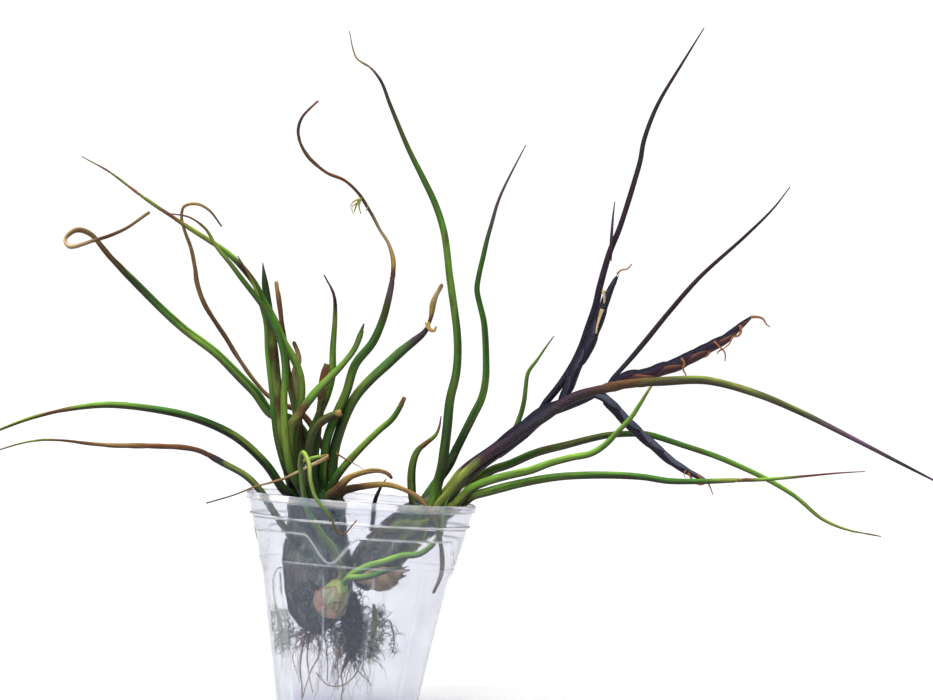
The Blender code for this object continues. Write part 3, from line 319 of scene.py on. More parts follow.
ROOTS = [
    Leaf("left_moss", "moss", (0.4, 0.4, 0.5, 1.6, 3.0, 2.6, 0.8), None, [
        (-32.5, -28, 1), (-34, -29.5, 0), (-35, -33, 0), (-34.2, -42, 0), (-32.6, -49, 0),
        (-31.6, -56, 0), (-31, -61, 0)]),
    Leaf("right_moss", "moss", (1.2, 3.0, 3.6, 3.0, 1.8, 0.6), None, [
        (5, -42.5, 8), (5.4, -47, 7), (5.2, -52, 6), (4.4, -58, 5), (3.2, -64, 4.6)]),
    Leaf("moss_sprig", "moss", (0.4, 0.6, 0.9, 1.2, 0.5), None, [
        (8.9, -50.4, 5), (11, -49, 3), (12.4, -53, 1), (13, -58, 0), (12.4, -62, 0)]),
    Leaf("root_to_floor_left", "root", (0.6, 0.45, 0.4, 0.4, 0.4), None, [
        (-22, -53.5, 3), (-23.4, -60, 4), (-24.4, -68, 5), (-23.6, -76, 5), (-23.8, -82.4, 5)]),
    Leaf("root_to_floor_right", "root", (0.6, 0.45, 0.4, 0.4, 0.4), None, [
        (-5.8, -64.4, 7), (-8, -70, 4), (-7.4, -76, 1), (-8, -80, 0), (-7.6, -83.9, 0)]),
    Leaf("root_curved_left", "root", (0.5, 0.4, 0.35, 0.3), None, [
        (-17.2, -55.7, 0.6), (-17, -63, -2), (-20, -69, -5), (-22, -75, -6), (-23.4, -80, -6)]),
    Leaf("root_hanging_left", "root", (0.5, 0.4, 0.35, 0.3), None, [
        (-20.4, -54.1, -0.6), (-21.6, -63, -5), (-20.8, -71, -8), (-19.4, -78, -9)]),
    Leaf("root_hanging_middle", "root", (0.5, 0.4, 0.35, 0.3), None, [
        (-15.6, -54.4, 4.2), (-14, -62, 8), (-13.4, -68, 11), (-13.8, -74, 12)]),
    Leaf("root_hanging_front", "root", (0.5, 0.4, 0.35, 0.3), None, [
        (-11, -49, -2), (-10.4, -58, -4), (-9.4, -68, -6), (-9.4, -77, -7)]),
    Leaf("root_loop", "root", (0.45, 0.4, 0.35, 0.35, 0.3), None, [
        (-2.2, -64.4, 6.2), (-1, -67, 3), (-3.4, -72, -1), (-8.6, -75.4, -5), (-14.2, -74.6, -6),
        (-18, -70, -6)]),
    Leaf("root_hanging_right", "root", (0.45, 0.4, 0.35, 0.3), None, [
        (-3, -63.9, 9), (-1.6, -69, 10), (1, -71.5, 10), (4, -75, 12)]),
]

FLOWERING_STEM = Leaf("flowering_stem", "purple_leaf", (2.4, 3.1, 3.3, 3.0, 2.5, 1.9, 1.3), (-0.2, 0.2), [
        (40, 8, 5), (43.4, 11, 5), (55.4, 19.6, 4), (63.4, 26, 3), (73.4, 34, 2.5), (84, 38, 2),
        (94, 42, 1.8), (98.3, 43.2, 1.2)],
        [(0, "yellow"), (0.09, "yellow"), (0.15, "plum"), (0.3, "indigo"), (0.6, "indigo"),
         (0.8, "plum"), (1, "indigo")])

# Where the channel lies on the leaves that show it plainly, in radians from straight up to the front
CHANNEL_TURNS = {"left_hooked_long_leaf": 0.6, "left_arching_leaf": 1.9}

# Leaves that end in an open, broken tube
BROKEN_ENDS = {"left_hollow_stub", "left_cut_orange_leaf", "left_brown_stub", "left_old_stalk"}

# Dark leaves that grow out of the flowering stem
BRACTS = {"tall_bract_leaf", "bract_side_tip", "slanting_bract_leaf"}

# Leaves that stay wide until just before their tip
BLUNT_TIPS = {"left_slanting_leaf", "left_orange_tipped_leaf", "left_brown_curl", "pup_short_leaf"}

# Dried threads on a piece: the piece's name, half width, tint, depth, and route as (across, up)
Thread = namedtuple("Thread", "piece half_width tint depth route")

THREADS = [
    Thread("left_tall_curled_leaf", 0.56, "yellow", -4.5, [
        (0.2, 120.2), (-1.8, 117.4), (-3.0, 114.2)]),
    Thread("left_tall_curled_leaf", 0.48, "yellow", -5.5, [
        (-0.2, 119.8), (-1.0, 116.6), (-0.2, 113.4)]),
    Thread("left_tall_curled_leaf", 0.48, "gold", -5.0, [
        (-1.0, 119.4), (-3.4, 118.2), (-4.6, 116.2)]),
    Thread("left_tall_curled_leaf", 0.45, "yellow", -3.5, [
        (1.0, 118.6), (2.6, 116.6), (1.8, 114.6)]),
    Thread("left_tall_curled_leaf", 0.40, "gold", -5.5, [
        (-1.8, 117.8), (-3.8, 116.2), (-3.4, 113.4)]),
    Thread("left_curled_tip_leaf", 1.4, "gold", 6.5, [
        (26.2, 70.2), (27.0, 67.4), (29.0, 66.6), (29.8, 68.2)]),
    Thread("left_dry_strand", 0.5, "tan", -7.3, [
        (-10.2, 17.8), (-6.6, 15.4), (-3.4, 13.8), (0.6, 11.4)]),
    Thread("upright_flower_spike", 0.57, "copper", 2.8, [
        (102.2, 89.4), (103.8, 91.0), (106.2, 91.4), (108.2, 93.4)]),
    Thread("upright_flower_spike", 1.0, "straw", -0.6, [
        (96.6, 83.0), (97.0, 80.2), (97.0, 77.8)]),
    Thread("upright_flower_spike", 1.15, "straw", -0.8, [
        (96.2, 75.4), (95.0, 71.8), (94.2, 68.6), (93.8, 65.8)]),
    Thread("right_flower_spike", 0.68, "copper", -6.2, [
        (127.8, 55.8), (129.0, 54.2), (128.6, 51.0), (129.8, 49.0), (128.6, 48.2)]),
    Thread("right_flower_spike", 0.57, "copper", -7.4, [
        (141.0, 62.6), (143.4, 60.2), (145.4, 57.8), (145.4, 54.6)]),
    Thread("right_flower_spike", 0.49, "copper", -7.0, [
        (144.6, 59.4), (143.0, 58.6), (142.2, 57.4)]),
    Thread("right_flower_spike", 0.65, "copper", -8.2, [
        (151.4, 69.0), (151.8, 66.6), (150.6, 64.6), (148.6, 64.2), (147.0, 61.4), (144.6, 59.4)]),
    Thread("right_flower_spike", 0.49, "copper", -7.0, [
        (139.4, 58.2), (138.2, 56.6), (136.6, 55.8)]),
    Thread("right_flower_spike", 0.65, "copper", -8.8, [
        (156.2, 72.2), (158.6, 72.2), (160.6, 71.4), (161.8, 69.4), (163.4, 68.2)]),
    Thread("drooping_flower_spike", 0.61, "copper", 1.4, [
        (130.6, 9.8), (133.0, 6.2), (135.8, 5.0), (138.2, 5.8), (139.4, 4.2), (140.6, 1.0)]),
    Thread("drooping_flower_spike", 0.54, "copper", 1.8, [
        (134.2, 9.4), (136.6, 7.0), (139.0, 5.4), (139.8, 3.0)]),
    Thread("drooping_flower_spike", 0.41, "copper", 0.8, [
        (129.8, 11.0), (129.0, 9.0), (129.8, 7.8)]),
]

# How dry each tint is, from fresh to papery
DRYNESS = {"brown": 1.0, "tan": 1.0, "straw": 1.0, "gold": 0.9, "rust": 0.7, "copper": 0.8, "wine": 0.3}


def colour_property(name, description, default):
    """A colour that a user can change."""
    return bpy.props.FloatVectorProperty(
        name=name, description=description, subtype="COLOR", size=3, min=0, max=1, default=default)


class BulbosaTints(bpy.types.PropertyGroup):
    """The colours of the plants."""

    deep: colour_property("Deep green", "Shaded leaf bases", (0.010, 0.045, 0.006))
    green: colour_property("Green", "Most of a sound leaf", (0.038, 0.125, 0.013))
    bright: colour_property("Bright green", "The lit stretches of a leaf", (0.125, 0.27, 0.028))
    yellow: colour_property("Yellow green", "Ageing and new leaf", (0.20, 0.26, 0.04))
    olive: colour_property("Olive", "Older leaves", (0.05, 0.06, 0.012))
    brown: colour_property("Brown", "Dried leaf", (0.10, 0.045, 0.018))
    tan: colour_property("Tan", "Dried leaf in the light", (0.27, 0.16, 0.065))
    straw: colour_property("Straw", "The palest dried leaf", (0.52, 0.39, 0.21))
    gold: colour_property("Gold", "Dried leaf with some green left", (0.42, 0.27, 0.08))
    rust: colour_property("Rust", "Reddish dried stretches", (0.17, 0.055, 0.02))
    copper: colour_property("Copper", "Dried edges and threads", (0.29, 0.115, 0.055))
    wine: colour_property("Wine", "Reddened leaf tips", (0.12, 0.022, 0.03))
    mauve: colour_property("Mauve", "Leaf tips", (0.10, 0.055, 0.10))
    plum: colour_property("Plum", "Flower bracts in the light", (0.028, 0.010, 0.022))
    indigo: colour_property("Indigo", "Flower bracts in shade", (0.010, 0.008, 0.022))
    pale: colour_property("Pale green", "The offset's outer sheaths", (0.17, 0.195, 0.085))
    peach: colour_property("Peach", "The offset's dry sheaths", (0.25, 0.16, 0.105))
    bark: colour_property("Bark", "Dead sheaths on the bulbs", (0.030, 0.020, 0.020))
    slate: colour_property("Slate", "Scurfy blue-green of the bulbs", (0.014, 0.030, 0.028))
    scurf: colour_property("Scurf", "Silvery scales on the bulbs", (0.10, 0.12, 0.095))
    soil: colour_property("Soil", "The root mass", (0.02, 0.018, 0.016))
    moss: colour_property("Moss", "Moss on the roots", (0.24, 0.29, 0.16))
    thread: colour_property("Root", "Single roots", (0.16, 0.11, 0.06))
    # Steel is partly silvery scales and partly painted highlight on the spikes' upper bracts
    steel: colour_property("Steel", "Silvery bloom on the dark bracts", (0.075, 0.085, 0.125))
    char: colour_property("Char", "Blackened torn edges", (0.02, 0.018, 0.02))


class BulbosaSkin(bpy.types.PropertyGroup):
    """How leaf and bulb surfaces are finished."""

    ring_spacing: bpy.props.FloatProperty(
        name="Ring spacing", description="Distance between a leaf's rings, in millimetres",
        min=0.5, max=6, default=1.6)
    leaf_sides: bpy.props.IntProperty(
        name="Leaf sides", description="Points round each ring of a leaf", min=8, max=32, default=16)
    groove: bpy.props.FloatProperty(
        name="Groove", description="Depth of the channel along a leaf, as a share of its radius",
        subtype="FACTOR", min=0, max=0.6, default=0.24)
    wrinkles: bpy.props.FloatProperty(
        name="Wrinkles", description="How far a dried stretch shrinks and folds, as a share of its radius",
        subtype="FACTOR", min=0, max=0.6, default=0.26)
    mottle: bpy.props.FloatProperty(
        name="Mottle", description="Strength of the blotches",
        subtype="FACTOR", min=0, max=1, default=0.45)
    streaks: bpy.props.FloatProperty(
        name="Streaks", description="Strength of the fine lines along the leaf",
        subtype="FACTOR", min=0, max=1, default=0.35)
    bloom: bpy.props.FloatProperty(
        name="Bloom", description="Strength of the silvery scales",
        subtype="FACTOR", min=0, max=1, default=0.2)


class BulbosaCup(bpy.types.PropertyGroup):
    """The clear cup."""

    tint: colour_property("Plastic tint", "Colour that the plastic gives to light", (0.84, 0.84, 0.885))
    haze: bpy.props.FloatProperty(
        name="Haze", description="Share of light that the plastic scatters",
        subtype="FACTOR", min=0, max=0.5, default=0.02)
    roughness: bpy.props.FloatProperty(
        name="Roughness", description="Roughness of the plastic",
        subtype="FACTOR", min=0, max=1, default=0.06)
    wall: bpy.props.FloatProperty(
        name="Wall", description="Thickness of the plastic",
        unit="LENGTH", min=0.0002, max=0.002, default=0.0006)
    ring: bpy.props.FloatProperty(
        name="Ring", description="How far the upper ring stands out",
        unit="LENGTH", min=0, max=0.002, default=0.0006)
    inset: bpy.props.FloatProperty(
        name="Panel inset", description="How deep the four panels lie",
        unit="LENGTH", min=0, max=0.003, default=0.0009)


class BulbosaRoots(bpy.types.PropertyGroup):
    """The roots and the moss."""

    mass_roots: bpy.props.IntProperty(
        name="Roots in the mass", description="Fine roots on the root mass",
        min=0, max=2000, default=230)
    moss_strands: bpy.props.IntProperty(
        name="Moss strands", description="Strands on the largest clump of moss",
        min=0, max=4000, default=360)
    seed: bpy.props.IntProperty(
        name="Seed", description="Start of the random numbers for roots and moss", min=0, default=7)


class BulbosaStage(bpy.types.PropertyGroup):
    """Floor, light and camera."""

    floor: colour_property("Floor", "Colour of the floor", (0.93, 0.93, 0.93))
    surround: bpy.props.FloatProperty(
        name="Surround", description="Strength of the even light from all sides",
        min=0, max=5, default=0.37)
    key: bpy.props.FloatProperty(
        name="Key light", description="Strength of the soft main light from above",
        min=0, max=20, default=3.3)
    glint: bpy.props.FloatProperty(
        name="Glint", description="Strength of the small light that gives the plastic its bright lines",
        min=0, max=20, default=0.7)
    focal_length: bpy.props.FloatProperty(
        name="Focal length", description="Focal length of the camera, in millimetres",
        min=10, max=400, default=144.7)


GROUPS = {
    "bulbosa_tints": BulbosaTints,
    "bulbosa_skin": BulbosaSkin,
    "bulbosa_cup": BulbosaCup,
    "bulbosa_roots": BulbosaRoots,
    "bulbosa_stage": BulbosaStage,
}


def on_sight_line(across, up, depth):
    """The place at this depth that is seen where (across, up) lies in the plane of the cup's axis."""
    spread = 1 + depth / VIEW_DISTANCE
    middle_across, middle_up = PICTURE_CENTRE
    return Vector((
        middle_across + (across - middle_across) * spread,
        depth,
        middle_up + (up - middle_up) * spread,
    ))


def curve_between(corners, steps):
    """Places from the second corner towards the third, on a centripetal Catmull-Rom curve."""
    knots = [0.0]
    for one, other in zip(corners, corners[1:]):
        knots.append(knots[-1] + max((other - one).length, 0.01) ** 0.5)

    def blend(one, other, low, high, at):
        return one + (other - one) * ((at - knots[low]) / (knots[high] - knots[low]))

    places = []
    for step in range(steps):
        at = knots[1] + (knots[2] - knots[1]) * step / steps
        legs = [blend(corners[i], corners[i + 1], i, i + 1, at) for i in range(3)]
        pairs = [blend(legs[i], legs[i + 1], i, i + 2, at) for i in range(2)]
        places.append(blend(*pairs, 1, 2, at))
    return places


def smooth_route(places):
    """A dense smooth line through the places."""
    padded = [places[0] * 2 - places[1], *places, places[-1] * 2 - places[-2]]
    line = []
    for i in range(1, len(padded) - 2):
        line += curve_between(padded[i - 1:i + 3], STEPS_BETWEEN_POINTS)
    return line + [places[-1]]


def evenly_spaced(line, spacing, fewest=6):
    """Places at about this spacing along the line."""
    reached = [0.0]
    for one, other in zip(line, line[1:]):
        reached.append(reached[-1] + (other - one).length)
    count = max(fewest, round(reached[-1] / spacing))
    spaced = []
    i = 0
    for k in range(count + 1):
        goal = reached[-1] * k / count
        while i < len(line) - 2 and reached[i + 1] < goal:
            i += 1
        share = (goal - reached[i]) / max(reached[i + 1] - reached[i], 1e-9)
        spaced.append(line[i].lerp(line[i + 1], share))
    return spaced


def line_along(route, spacing):
    """A smooth line of places at about this spacing, through a route of the tables."""
    return evenly_spaced(smooth_route([on_sight_line(*place) for place in route]), spacing)


def shares_along(line):
    """How far along an evenly spaced line each of its places lies, from 0 to 1."""
    return [i / (len(line) - 1) for i in range(len(line))]


def narrowing(half_width, loss, count):
    """This many half widths, which shrink evenly until they have lost this share."""
    return [half_width * (1 - loss * i / (count - 1)) for i in range(count)]


def peak(distance, width):
    """1 at no distance, and next to nothing at a few widths."""
    return exp(-(distance / width) ** 2)


def eased(share):
    """A share from 0 to 1 that starts and ends gently."""
    share = min(max(share, 0.0), 1.0)
    return share * share * (3 - 2 * share)


def read_along(values, share):
    """The value this far along an evenly spaced list, smoothly between its neighbours."""
    place = min(max(share, 0.0), 1.0) * (len(values) - 1)
    i = min(int(place), len(values) - 2)
    return values[i] + (values[i + 1] - values[i]) * (place - i)


def outline_width(outline, below):
    """A bulb's half width this far below its neck."""
    return float(np.interp(below, [row[0] for row in outline], [row[1] for row in outline]))


def tint_of(name):
    """A tint's colour and how dry it is."""
    return Vector(getattr(bpy.context.scene.bulbosa_tints, name)), DRYNESS.get(name, 0.0)


def between(one, other, share):
    """The colour and dryness this far from one tint to the other."""
    return one[0].lerp(other[0], share), one[1] + (other[1] - one[1]) * share


def tint_along(stops, share):
    """The colour and dryness this far along a list of (share, tint)."""
    share = min(max(share, 0.0), 1.0)
    for (low, low_name), (high, high_name) in zip(stops, stops[1:]):
        if share <= high:
            mix = eased((share - low) / max(high - low, 1e-6))
            return between(tint_of(low_name), tint_of(high_name), mix)
    return tint_of(stops[-1][1])


def carried_frames(line):
    """For each place on the line, the way along it and two ways across that turn as little as they can."""
    frames = []
    side = None
    for i in range(len(line)):
        along = (line[min(i + 1, len(line) - 1)] - line[max(i - 1, 0)]).normalized()
        if side is None:
            side = along.cross(Vector((0, -1, 0)))
            if side.length < 0.2:
                side = along.cross(Vector((1, 0, 0)))
        side = (side - along * side.dot(along)).normalized()
        frames.append((along, side, along.cross(side)))
    return frames


class Surface:
    """The points and faces of one piece while it is made, with each point's tint, dryness and fibre place.

    A fibre place is where a point lies on its leaf, in millimetres, with the third number along it.
    """

    def __init__(self):
        self.places = []
        self.faces = []
        self.tints = []
        self.dryness = []
        self.fibres = []

    def point(self, place, tint, dry, fibre):
        """Add a point, and return its number."""
        self.places.append(place)
        self.tints.append((*tint, 1.0))
        self.dryness.append(dry)
        self.fibres.append(fibre)
        return len(self.places) - 1

    def bridge(self, one, other):
        """Join two rings of points that hold the same number."""
        count = len(one)
        for k in range(count):
            after = (k + 1) % count
            self.faces.append((one[k], one[after], other[after], other[k]))

    def fan(self, ring, tip):
        """Close a ring with a point."""
        for k in range(len(ring)):
            self.faces.append((ring[k], ring[(k + 1) % len(ring)], tip))

    def piece(self, node, ending, slot, material=None, placing=LEANING):
        """Make the object that stands for a CAD node, and is named for it."""
        if not self.faces:
            raise RuntimeError(f"{node} has no faces")
        mesh = bpy.data.meshes.new(f"{node}_{ending}")
        matrix = np.array(placing, dtype=float)
        places = np.array([tuple(place) for place in self.places])
        places = (places @ matrix[:3, :3].T + matrix[:3, 3]) * MM
        mesh.from_pydata(places.tolist(), [], self.faces)
        mesh.attributes.new("tint", "FLOAT_COLOR", "POINT").data.foreach_set(
            "color", np.array(self.tints, dtype=np.float32).ravel())
        mesh.attributes.new("dry", "FLOAT", "POINT").data.foreach_set(
            "value", np.array(self.dryness, dtype=np.float32))
        mesh.attributes.new("fibre", "FLOAT_VECTOR", "POINT").data.foreach_set(
            "vector", np.array(self.fibres, dtype=np.float32).ravel())
        turned_out = bmesh.new()
        turned_out.from_mesh(mesh)
        bmesh.ops.recalc_face_normals(turned_out, faces=turned_out.faces)
        turned_out.to_mesh(mesh)
        turned_out.free()
        mesh.polygons.foreach_set("use_smooth", [True] * len(mesh.polygons))
        mesh.materials.append(material or plant_material(slot))
        mesh.update()
        made = bpy.data.objects.new(mesh.name, mesh)
        bpy.context.scene.collection.objects.link(made)
        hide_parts(node)
        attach(made, BODY)


# A leaf's channel: the half angle of its hollow and of the painted shade line along its middle, and how much
# darker that painted shade makes it, on most leaves and on those in CHANNEL_TURNS
CHANNEL_HALF_ANGLE = 0.42
CHANNEL_LINE = 0.2
CHANNEL_SHADE = 0.35
PLAIN_CHANNEL_SHADE = 0.9

# The inside of a broken leaf: rings as (share of the end's half width, distance back), and its depth
BROKEN_RINGS = ((0.72, 0.0), (0.62, 2.5))
BROKEN_DEPTH = 3.0


def weathered_with_painted_light(tint, dry, upward, out, reached, seed, shade):
    """A leaf's tint at a point: painted light makes it paler above, it turns plum below, partly its own
    colour and partly painted shade, and painted shade darkens it along its channel.

    Where the tint is green, it also has yellowed patches and brown spots.
    """
    patch = noise.noise(Vector((cos(out) * 0.7 + seed, sin(out) * 0.7, reached * 0.045)))
    spot = noise.noise(Vector((cos(out) * 1.1, sin(out) * 1.1 + seed, reached * 0.16)))
    fresh = (1 - dry) * min(1.0, max(0.0, (tint.y - max(tint.x, tint.z)) / 0.01))
    tint = tint.lerp(tint_of("yellow")[0], 0.45 * eased(patch * 2.2 - 0.1) * fresh)
    tint = tint.lerp(tint_of("brown")[0], 0.7 * eased((spot - 0.42) / 0.12) * fresh)
    # Painted light: faces turned up are lighter and those turned down darker; darker random patches come on
    # top
    tint = tint * (0.72 + 1.5 * eased(upward) ** 1.5 - 0.3 * eased(-patch * 1.8))
    # Plum below: partly the leaf's own purplish underside, partly painted shade
    tint = tint.lerp(tint_of("plum")[0] * 0.6, 0.85 * eased(0.15 - upward) * (1 - 0.5 * dry))
    # Painted shade along the channel's hollow
    return tint * (1 - shade * peak(out, CHANNEL_LINE))


def ring_turn(side, over, reached, dry, seed, channel_turn):
    """How far a ring is turned, and its channel with it. It drifts along a leaf, unless it is given."""
    if channel_turn is None:
        return seed * 2.1 + reached * (0.012 + 0.03 * dry)
    facing = Vector((0, -sin(channel_turn), cos(channel_turn)))
    return atan2(facing.dot(over), facing.dot(side))


def ring_swell(out, turn, reached, dry, seed, channel, wrinkles):
    """A ring's half width in one direction, as a share of its plain one."""
    angle = out + turn
    swell = 1 - channel * (1 - 0.5 * dry) * peak(out, CHANNEL_HALF_ANGLE)
    swell += 0.05 * noise.noise(Vector((cos(angle) * 0.8 + seed, sin(angle) * 0.8, reached * 0.09)))
    fold = noise.noise(Vector((cos(out) * 1.6 + seed, sin(out) * 1.6, reached * 0.13)))
    return swell + dry * wrinkles * (fold + 0.3 * cos(5 * out + reached * 0.2)) * 1.1


def add_broken_end(surface, edge, middle, way, tint, reached):
    """The inside of a broken tube, from its edge, darkened deeper in by painted shade. Way is the direction
    that the tube points.
    """
    rings = [edge]
    for share, back in BROKEN_RINGS:
        ring = []
        for number in edge:
            place = middle.lerp(surface.places[number], share) - way * back
            # Painted shade: each ring is darker the further back into the hollow it lies
            ring.append(surface.point(place, tint * (0.8 - back * 0.25), 1.0, surface.fibres[number]))
        rings.append(ring)
    for one, other in zip(rings, rings[1:]):
        surface.bridge(one, other)
    # Painted shade: the hollow's bottom is nearly black
    surface.fan(rings[-1], surface.point(middle - way * BROKEN_DEPTH, tint * 0.1, 1.0, (0, 0, reached)))


def add_tube(surface, line, radii, tints, sides, channel=0.0, wrinkles=0.0, seed=0.0, broken=False,
             channel_turn=None):
    """A closed tube along the line. Tints is one (colour, dryness) for each place on the line."""
    frames = carried_frames(line)
    shade = CHANNEL_SHADE if channel_turn is None else PLAIN_CHANNEL_SHADE
    rings = []
    reached = 0.0
    for i, (place, radius, (tint, dry), (along, side, over)) in enumerate(zip(line, radii, tints, frames)):
        if i:
            reached += (place - line[i - 1]).length
        turn = ring_turn(side, over, reached, dry, seed, channel_turn)
        sway = noise.noise_vector(Vector((seed, 3.7, reached * 0.11))) * (0.35 * dry * wrinkles * radius * 2)
        ring = []
        for k in range(sides):
            out = (2 * pi * k / sides + pi) % (2 * pi) - pi
            offset = side * cos(out) + over * sin(out) * (1 - 0.3 * dry)
            turned = Matrix.Rotation(turn, 3, along) @ offset
            swell = ring_swell(out, turn, reached, dry, seed, channel, wrinkles)
            # Leaves get painted light: paler above, plum and darker below, and painted shade along the
            # channel
            shown = weathered_with_painted_light(tint, dry, turned.z, out, reached, seed, shade) if channel else tint
            fibre = (cos(out) * 1.6 + seed * 5, sin(out) * 1.6, reached)
            ring.append(surface.point(place + sway + turned * radius * swell, shown, dry, fibre))
        rings.append(ring)
    for one, other in zip(rings, rings[1:]):
        surface.bridge(one, other)
    base = surface.point(line[0], *tints[0], (seed * 5, 0, 0))
    surface.fan(list(reversed(rings[0])), base)
    way = frames[-1][0]
    if broken:
        add_broken_end(surface, rings[-1], line[-1], way, tints[-1][0], reached)
    else:
        tip = surface.point(line[-1] + way * radii[-1] * 0.8, *tints[-1], (seed * 5, 0, reached))
        surface.fan(rings[-1], tip)


def add_sheet(surface, grid, tints, thickness, grain=1.0, seed=0.0):
    """A thin closed sheet through rows of places, with a (colour, dryness) for each place."""
    rows, columns = len(grid), len(grid[0])
    front, back = [], []
    for i in range(rows):
        front_row, back_row = [], []
        for j in range(columns):
            up = grid[min(i + 1, rows - 1)][j] - grid[max(i - 1, 0)][j]
            across = grid[i][min(j + 1, columns - 1)] - grid[i][max(j - 1, 0)]
            normal = across.cross(up)
            normal = normal.normalized() if normal.length > 1e-9 else Vector((0, -1, 0))
            edge = min(i, rows - 1 - i, j, columns - 1 - j)
            depth = thickness * (0.35 if edge == 0 else 1.0)
            fibre = (j * 1.1 * grain, seed, (grid[i][j] - grid[0][j]).length * grain)
            front_row.append(surface.point(grid[i][j], *tints[i][j], fibre))
            back_row.append(surface.point(grid[i][j] - normal * depth, *tints[i][j], fibre))
        front.append(front_row)
        back.append(back_row)
    for i in range(rows - 1):
        for j in range(columns - 1):
            surface.faces.append((front[i][j], front[i][j + 1], front[i + 1][j + 1], front[i + 1][j]))
            surface.faces.append((back[i][j], back[i + 1][j], back[i + 1][j + 1], back[i][j + 1]))
    rim = [(i, 0) for i in range(rows)] + [(rows - 1, j) for j in range(1, columns)]
    rim += [(i, columns - 1) for i in range(rows - 2, -1, -1)] + [(0, j) for j in range(columns - 2, 0, -1)]
    for (i, j), (m, n) in zip(rim, rim[1:] + rim[:1]):
        surface.faces.append((front[i][j], front[m][n], back[m][n], back[i][j]))


def neck_ways(neck):
    """The ways sideways and backward on a neck."""
    sideways = Vector((0, 1, 0)).cross(neck.facing).normalized()
    return sideways, neck.facing.cross(sideways)


def seat_place(neck, seat, rise):
    """A place this far above a seat on the neck."""
    sideways, backward = neck_ways(neck)
    return neck.middle + sideways * seat[0] + backward * seat[1] + neck.facing * rise


def bulb_place(neck, below, turn, out):
    """A place this far below the neck and out from the bulb's axis.

    Turn is 0 at the front, and grows to the right.
    """
    sideways, backward = neck_ways(neck)
    if neck is RIGHT_NECK:
        out *= 1 - RIGHT_SQUEEZE * max(0.0, sin(turn)) * eased((below - 6) / 14)
    return neck.middle - neck.facing * below + (sideways * sin(turn) - backward * cos(turn)) * out


def add_leaf(surface, leaf, neck):
    """One leaf, a grooved tube that swells at its base and shrivels where it is dry."""
    skin = bpy.context.scene.bulbosa_skin
    places = [on_sight_line(*place) for place in leaf.route]
    sunk = 0.0
    if leaf.seat:
        inner = (leaf.seat[0] * 0.7, leaf.seat[1] * 0.7)
        top = seat_place(neck, leaf.seat, BASE_RISE)
        places = [seat_place(neck, inner, -BASE_SUNK), top, *places]
        sunk = (top - places[0]).length
    line = evenly_spaced(smooth_route(places), skin.ring_spacing)
    length = sum((other - one).length for one, other in zip(line, line[1:]))
    radii, tints = [], []
    for i in range(len(line)):
        reached = length * i / (len(line) - 1)
        share = max(0.0, (reached - sunk) / (length - sunk))
        radius = read_along(leaf.half_widths, share)
        if leaf.name in BLUNT_TIPS:
            radius = max(radius, leaf.half_widths[-2] * min(1.0, ((1 - share) * 18) ** 0.5))
        if leaf.seat:
            radius *= 1 + 0.4 * exp(-max(0.0, reached - sunk) / 11)
        elif leaf.name in BRACTS:
            radius *= 0.3 + 0.7 * eased(reached / 5)
        radii.append(radius)
        tints.append(tint_along(leaf.tints, share))
    seed = sum(map(ord, leaf.name)) * 0.137 % 6.0
    add_tube(surface, line, radii, tints, skin.leaf_sides, skin.groove, skin.wrinkles, seed,
             leaf.name in BROKEN_ENDS, CHANNEL_TURNS.get(leaf.name))


def add_threads(surface, name):
    """The dried threads of one piece, each narrower towards its end."""
    for thread in THREADS:
        if thread.piece == name:
            line = line_along([(*place, thread.depth) for place in thread.route], 0.8)
            radii = narrowing(thread.half_width, 0.6, len(line))
            tints = [tint_of(thread.tint)] * len(line)
            add_tube(surface, line, radii, tints, 6, wrinkles=0.3, seed=thread.half_width * 31 % 5)


def group_socket(group, name, way, kind, default=None):
    """Add a named socket to a node group."""
    socket = group.interface.new_socket(name, in_out=way, socket_type=kind)
    if default is not None:
        socket.default_value = default
    return socket


class Wiring:
    """Short ways to add and join nodes."""

    def __init__(self, tree):
        self.tree = tree

    def node(self, kind, **settings):
        """Add a node with these settings."""
        made = self.tree.nodes.new(kind)
        for key, value in settings.items():
            setattr(made, key, value)
        return made

    def feed(self, socket, value):
        """Join another node's socket to this one, or set a plain value."""
        if isinstance(value, bpy.types.NodeSocket):
            self.tree.links.new(value, socket)
        else:
            socket.default_value = value

    def maths(self, operation, *values, clamp=False):
        """A Math node's output."""
        made = self.node("ShaderNodeMath", operation=operation, use_clamp=clamp)
        for socket, value in zip(made.inputs, values):
            self.feed(socket, value)
        return made.outputs[0]

    def mix(self, share, one, other, blend="MIX"):
        """A colour Mix node's output."""
        made = self.node("ShaderNodeMix", data_type="RGBA", blend_type=blend, clamp_factor=True)
        self.feed(made.inputs["Factor"], share)
        self.feed(made.inputs["A"], one)
        self.feed(made.inputs["B"], other)
        return made.outputs["Result"]

    def grain(self, vector, stretch, scale, detail=2.0):
        """Noise over the fibre places, stretched along the leaf."""
        scaled = self.node("ShaderNodeVectorMath", operation="MULTIPLY")
        self.feed(scaled.inputs[0], vector)
        scaled.inputs[1].default_value = stretch
        made = self.node("ShaderNodeTexNoise", noise_dimensions="3D")
        self.feed(made.inputs["Vector"], scaled.outputs[0])
        made.inputs["Scale"].default_value = scale
        made.inputs["Detail"].default_value = detail
        return made.outputs["Fac"]

    def ramp(self, value, low, high, to_low=0.0, to_high=1.0):
        """A smooth Map Range node's output."""
        made = self.node("ShaderNodeMapRange", interpolation_type="SMOOTHSTEP", clamp=True)
        for socket, given in zip(made.inputs, (value, low, high, to_low, to_high)):
            self.feed(socket, given)
        return made.outputs["Result"]


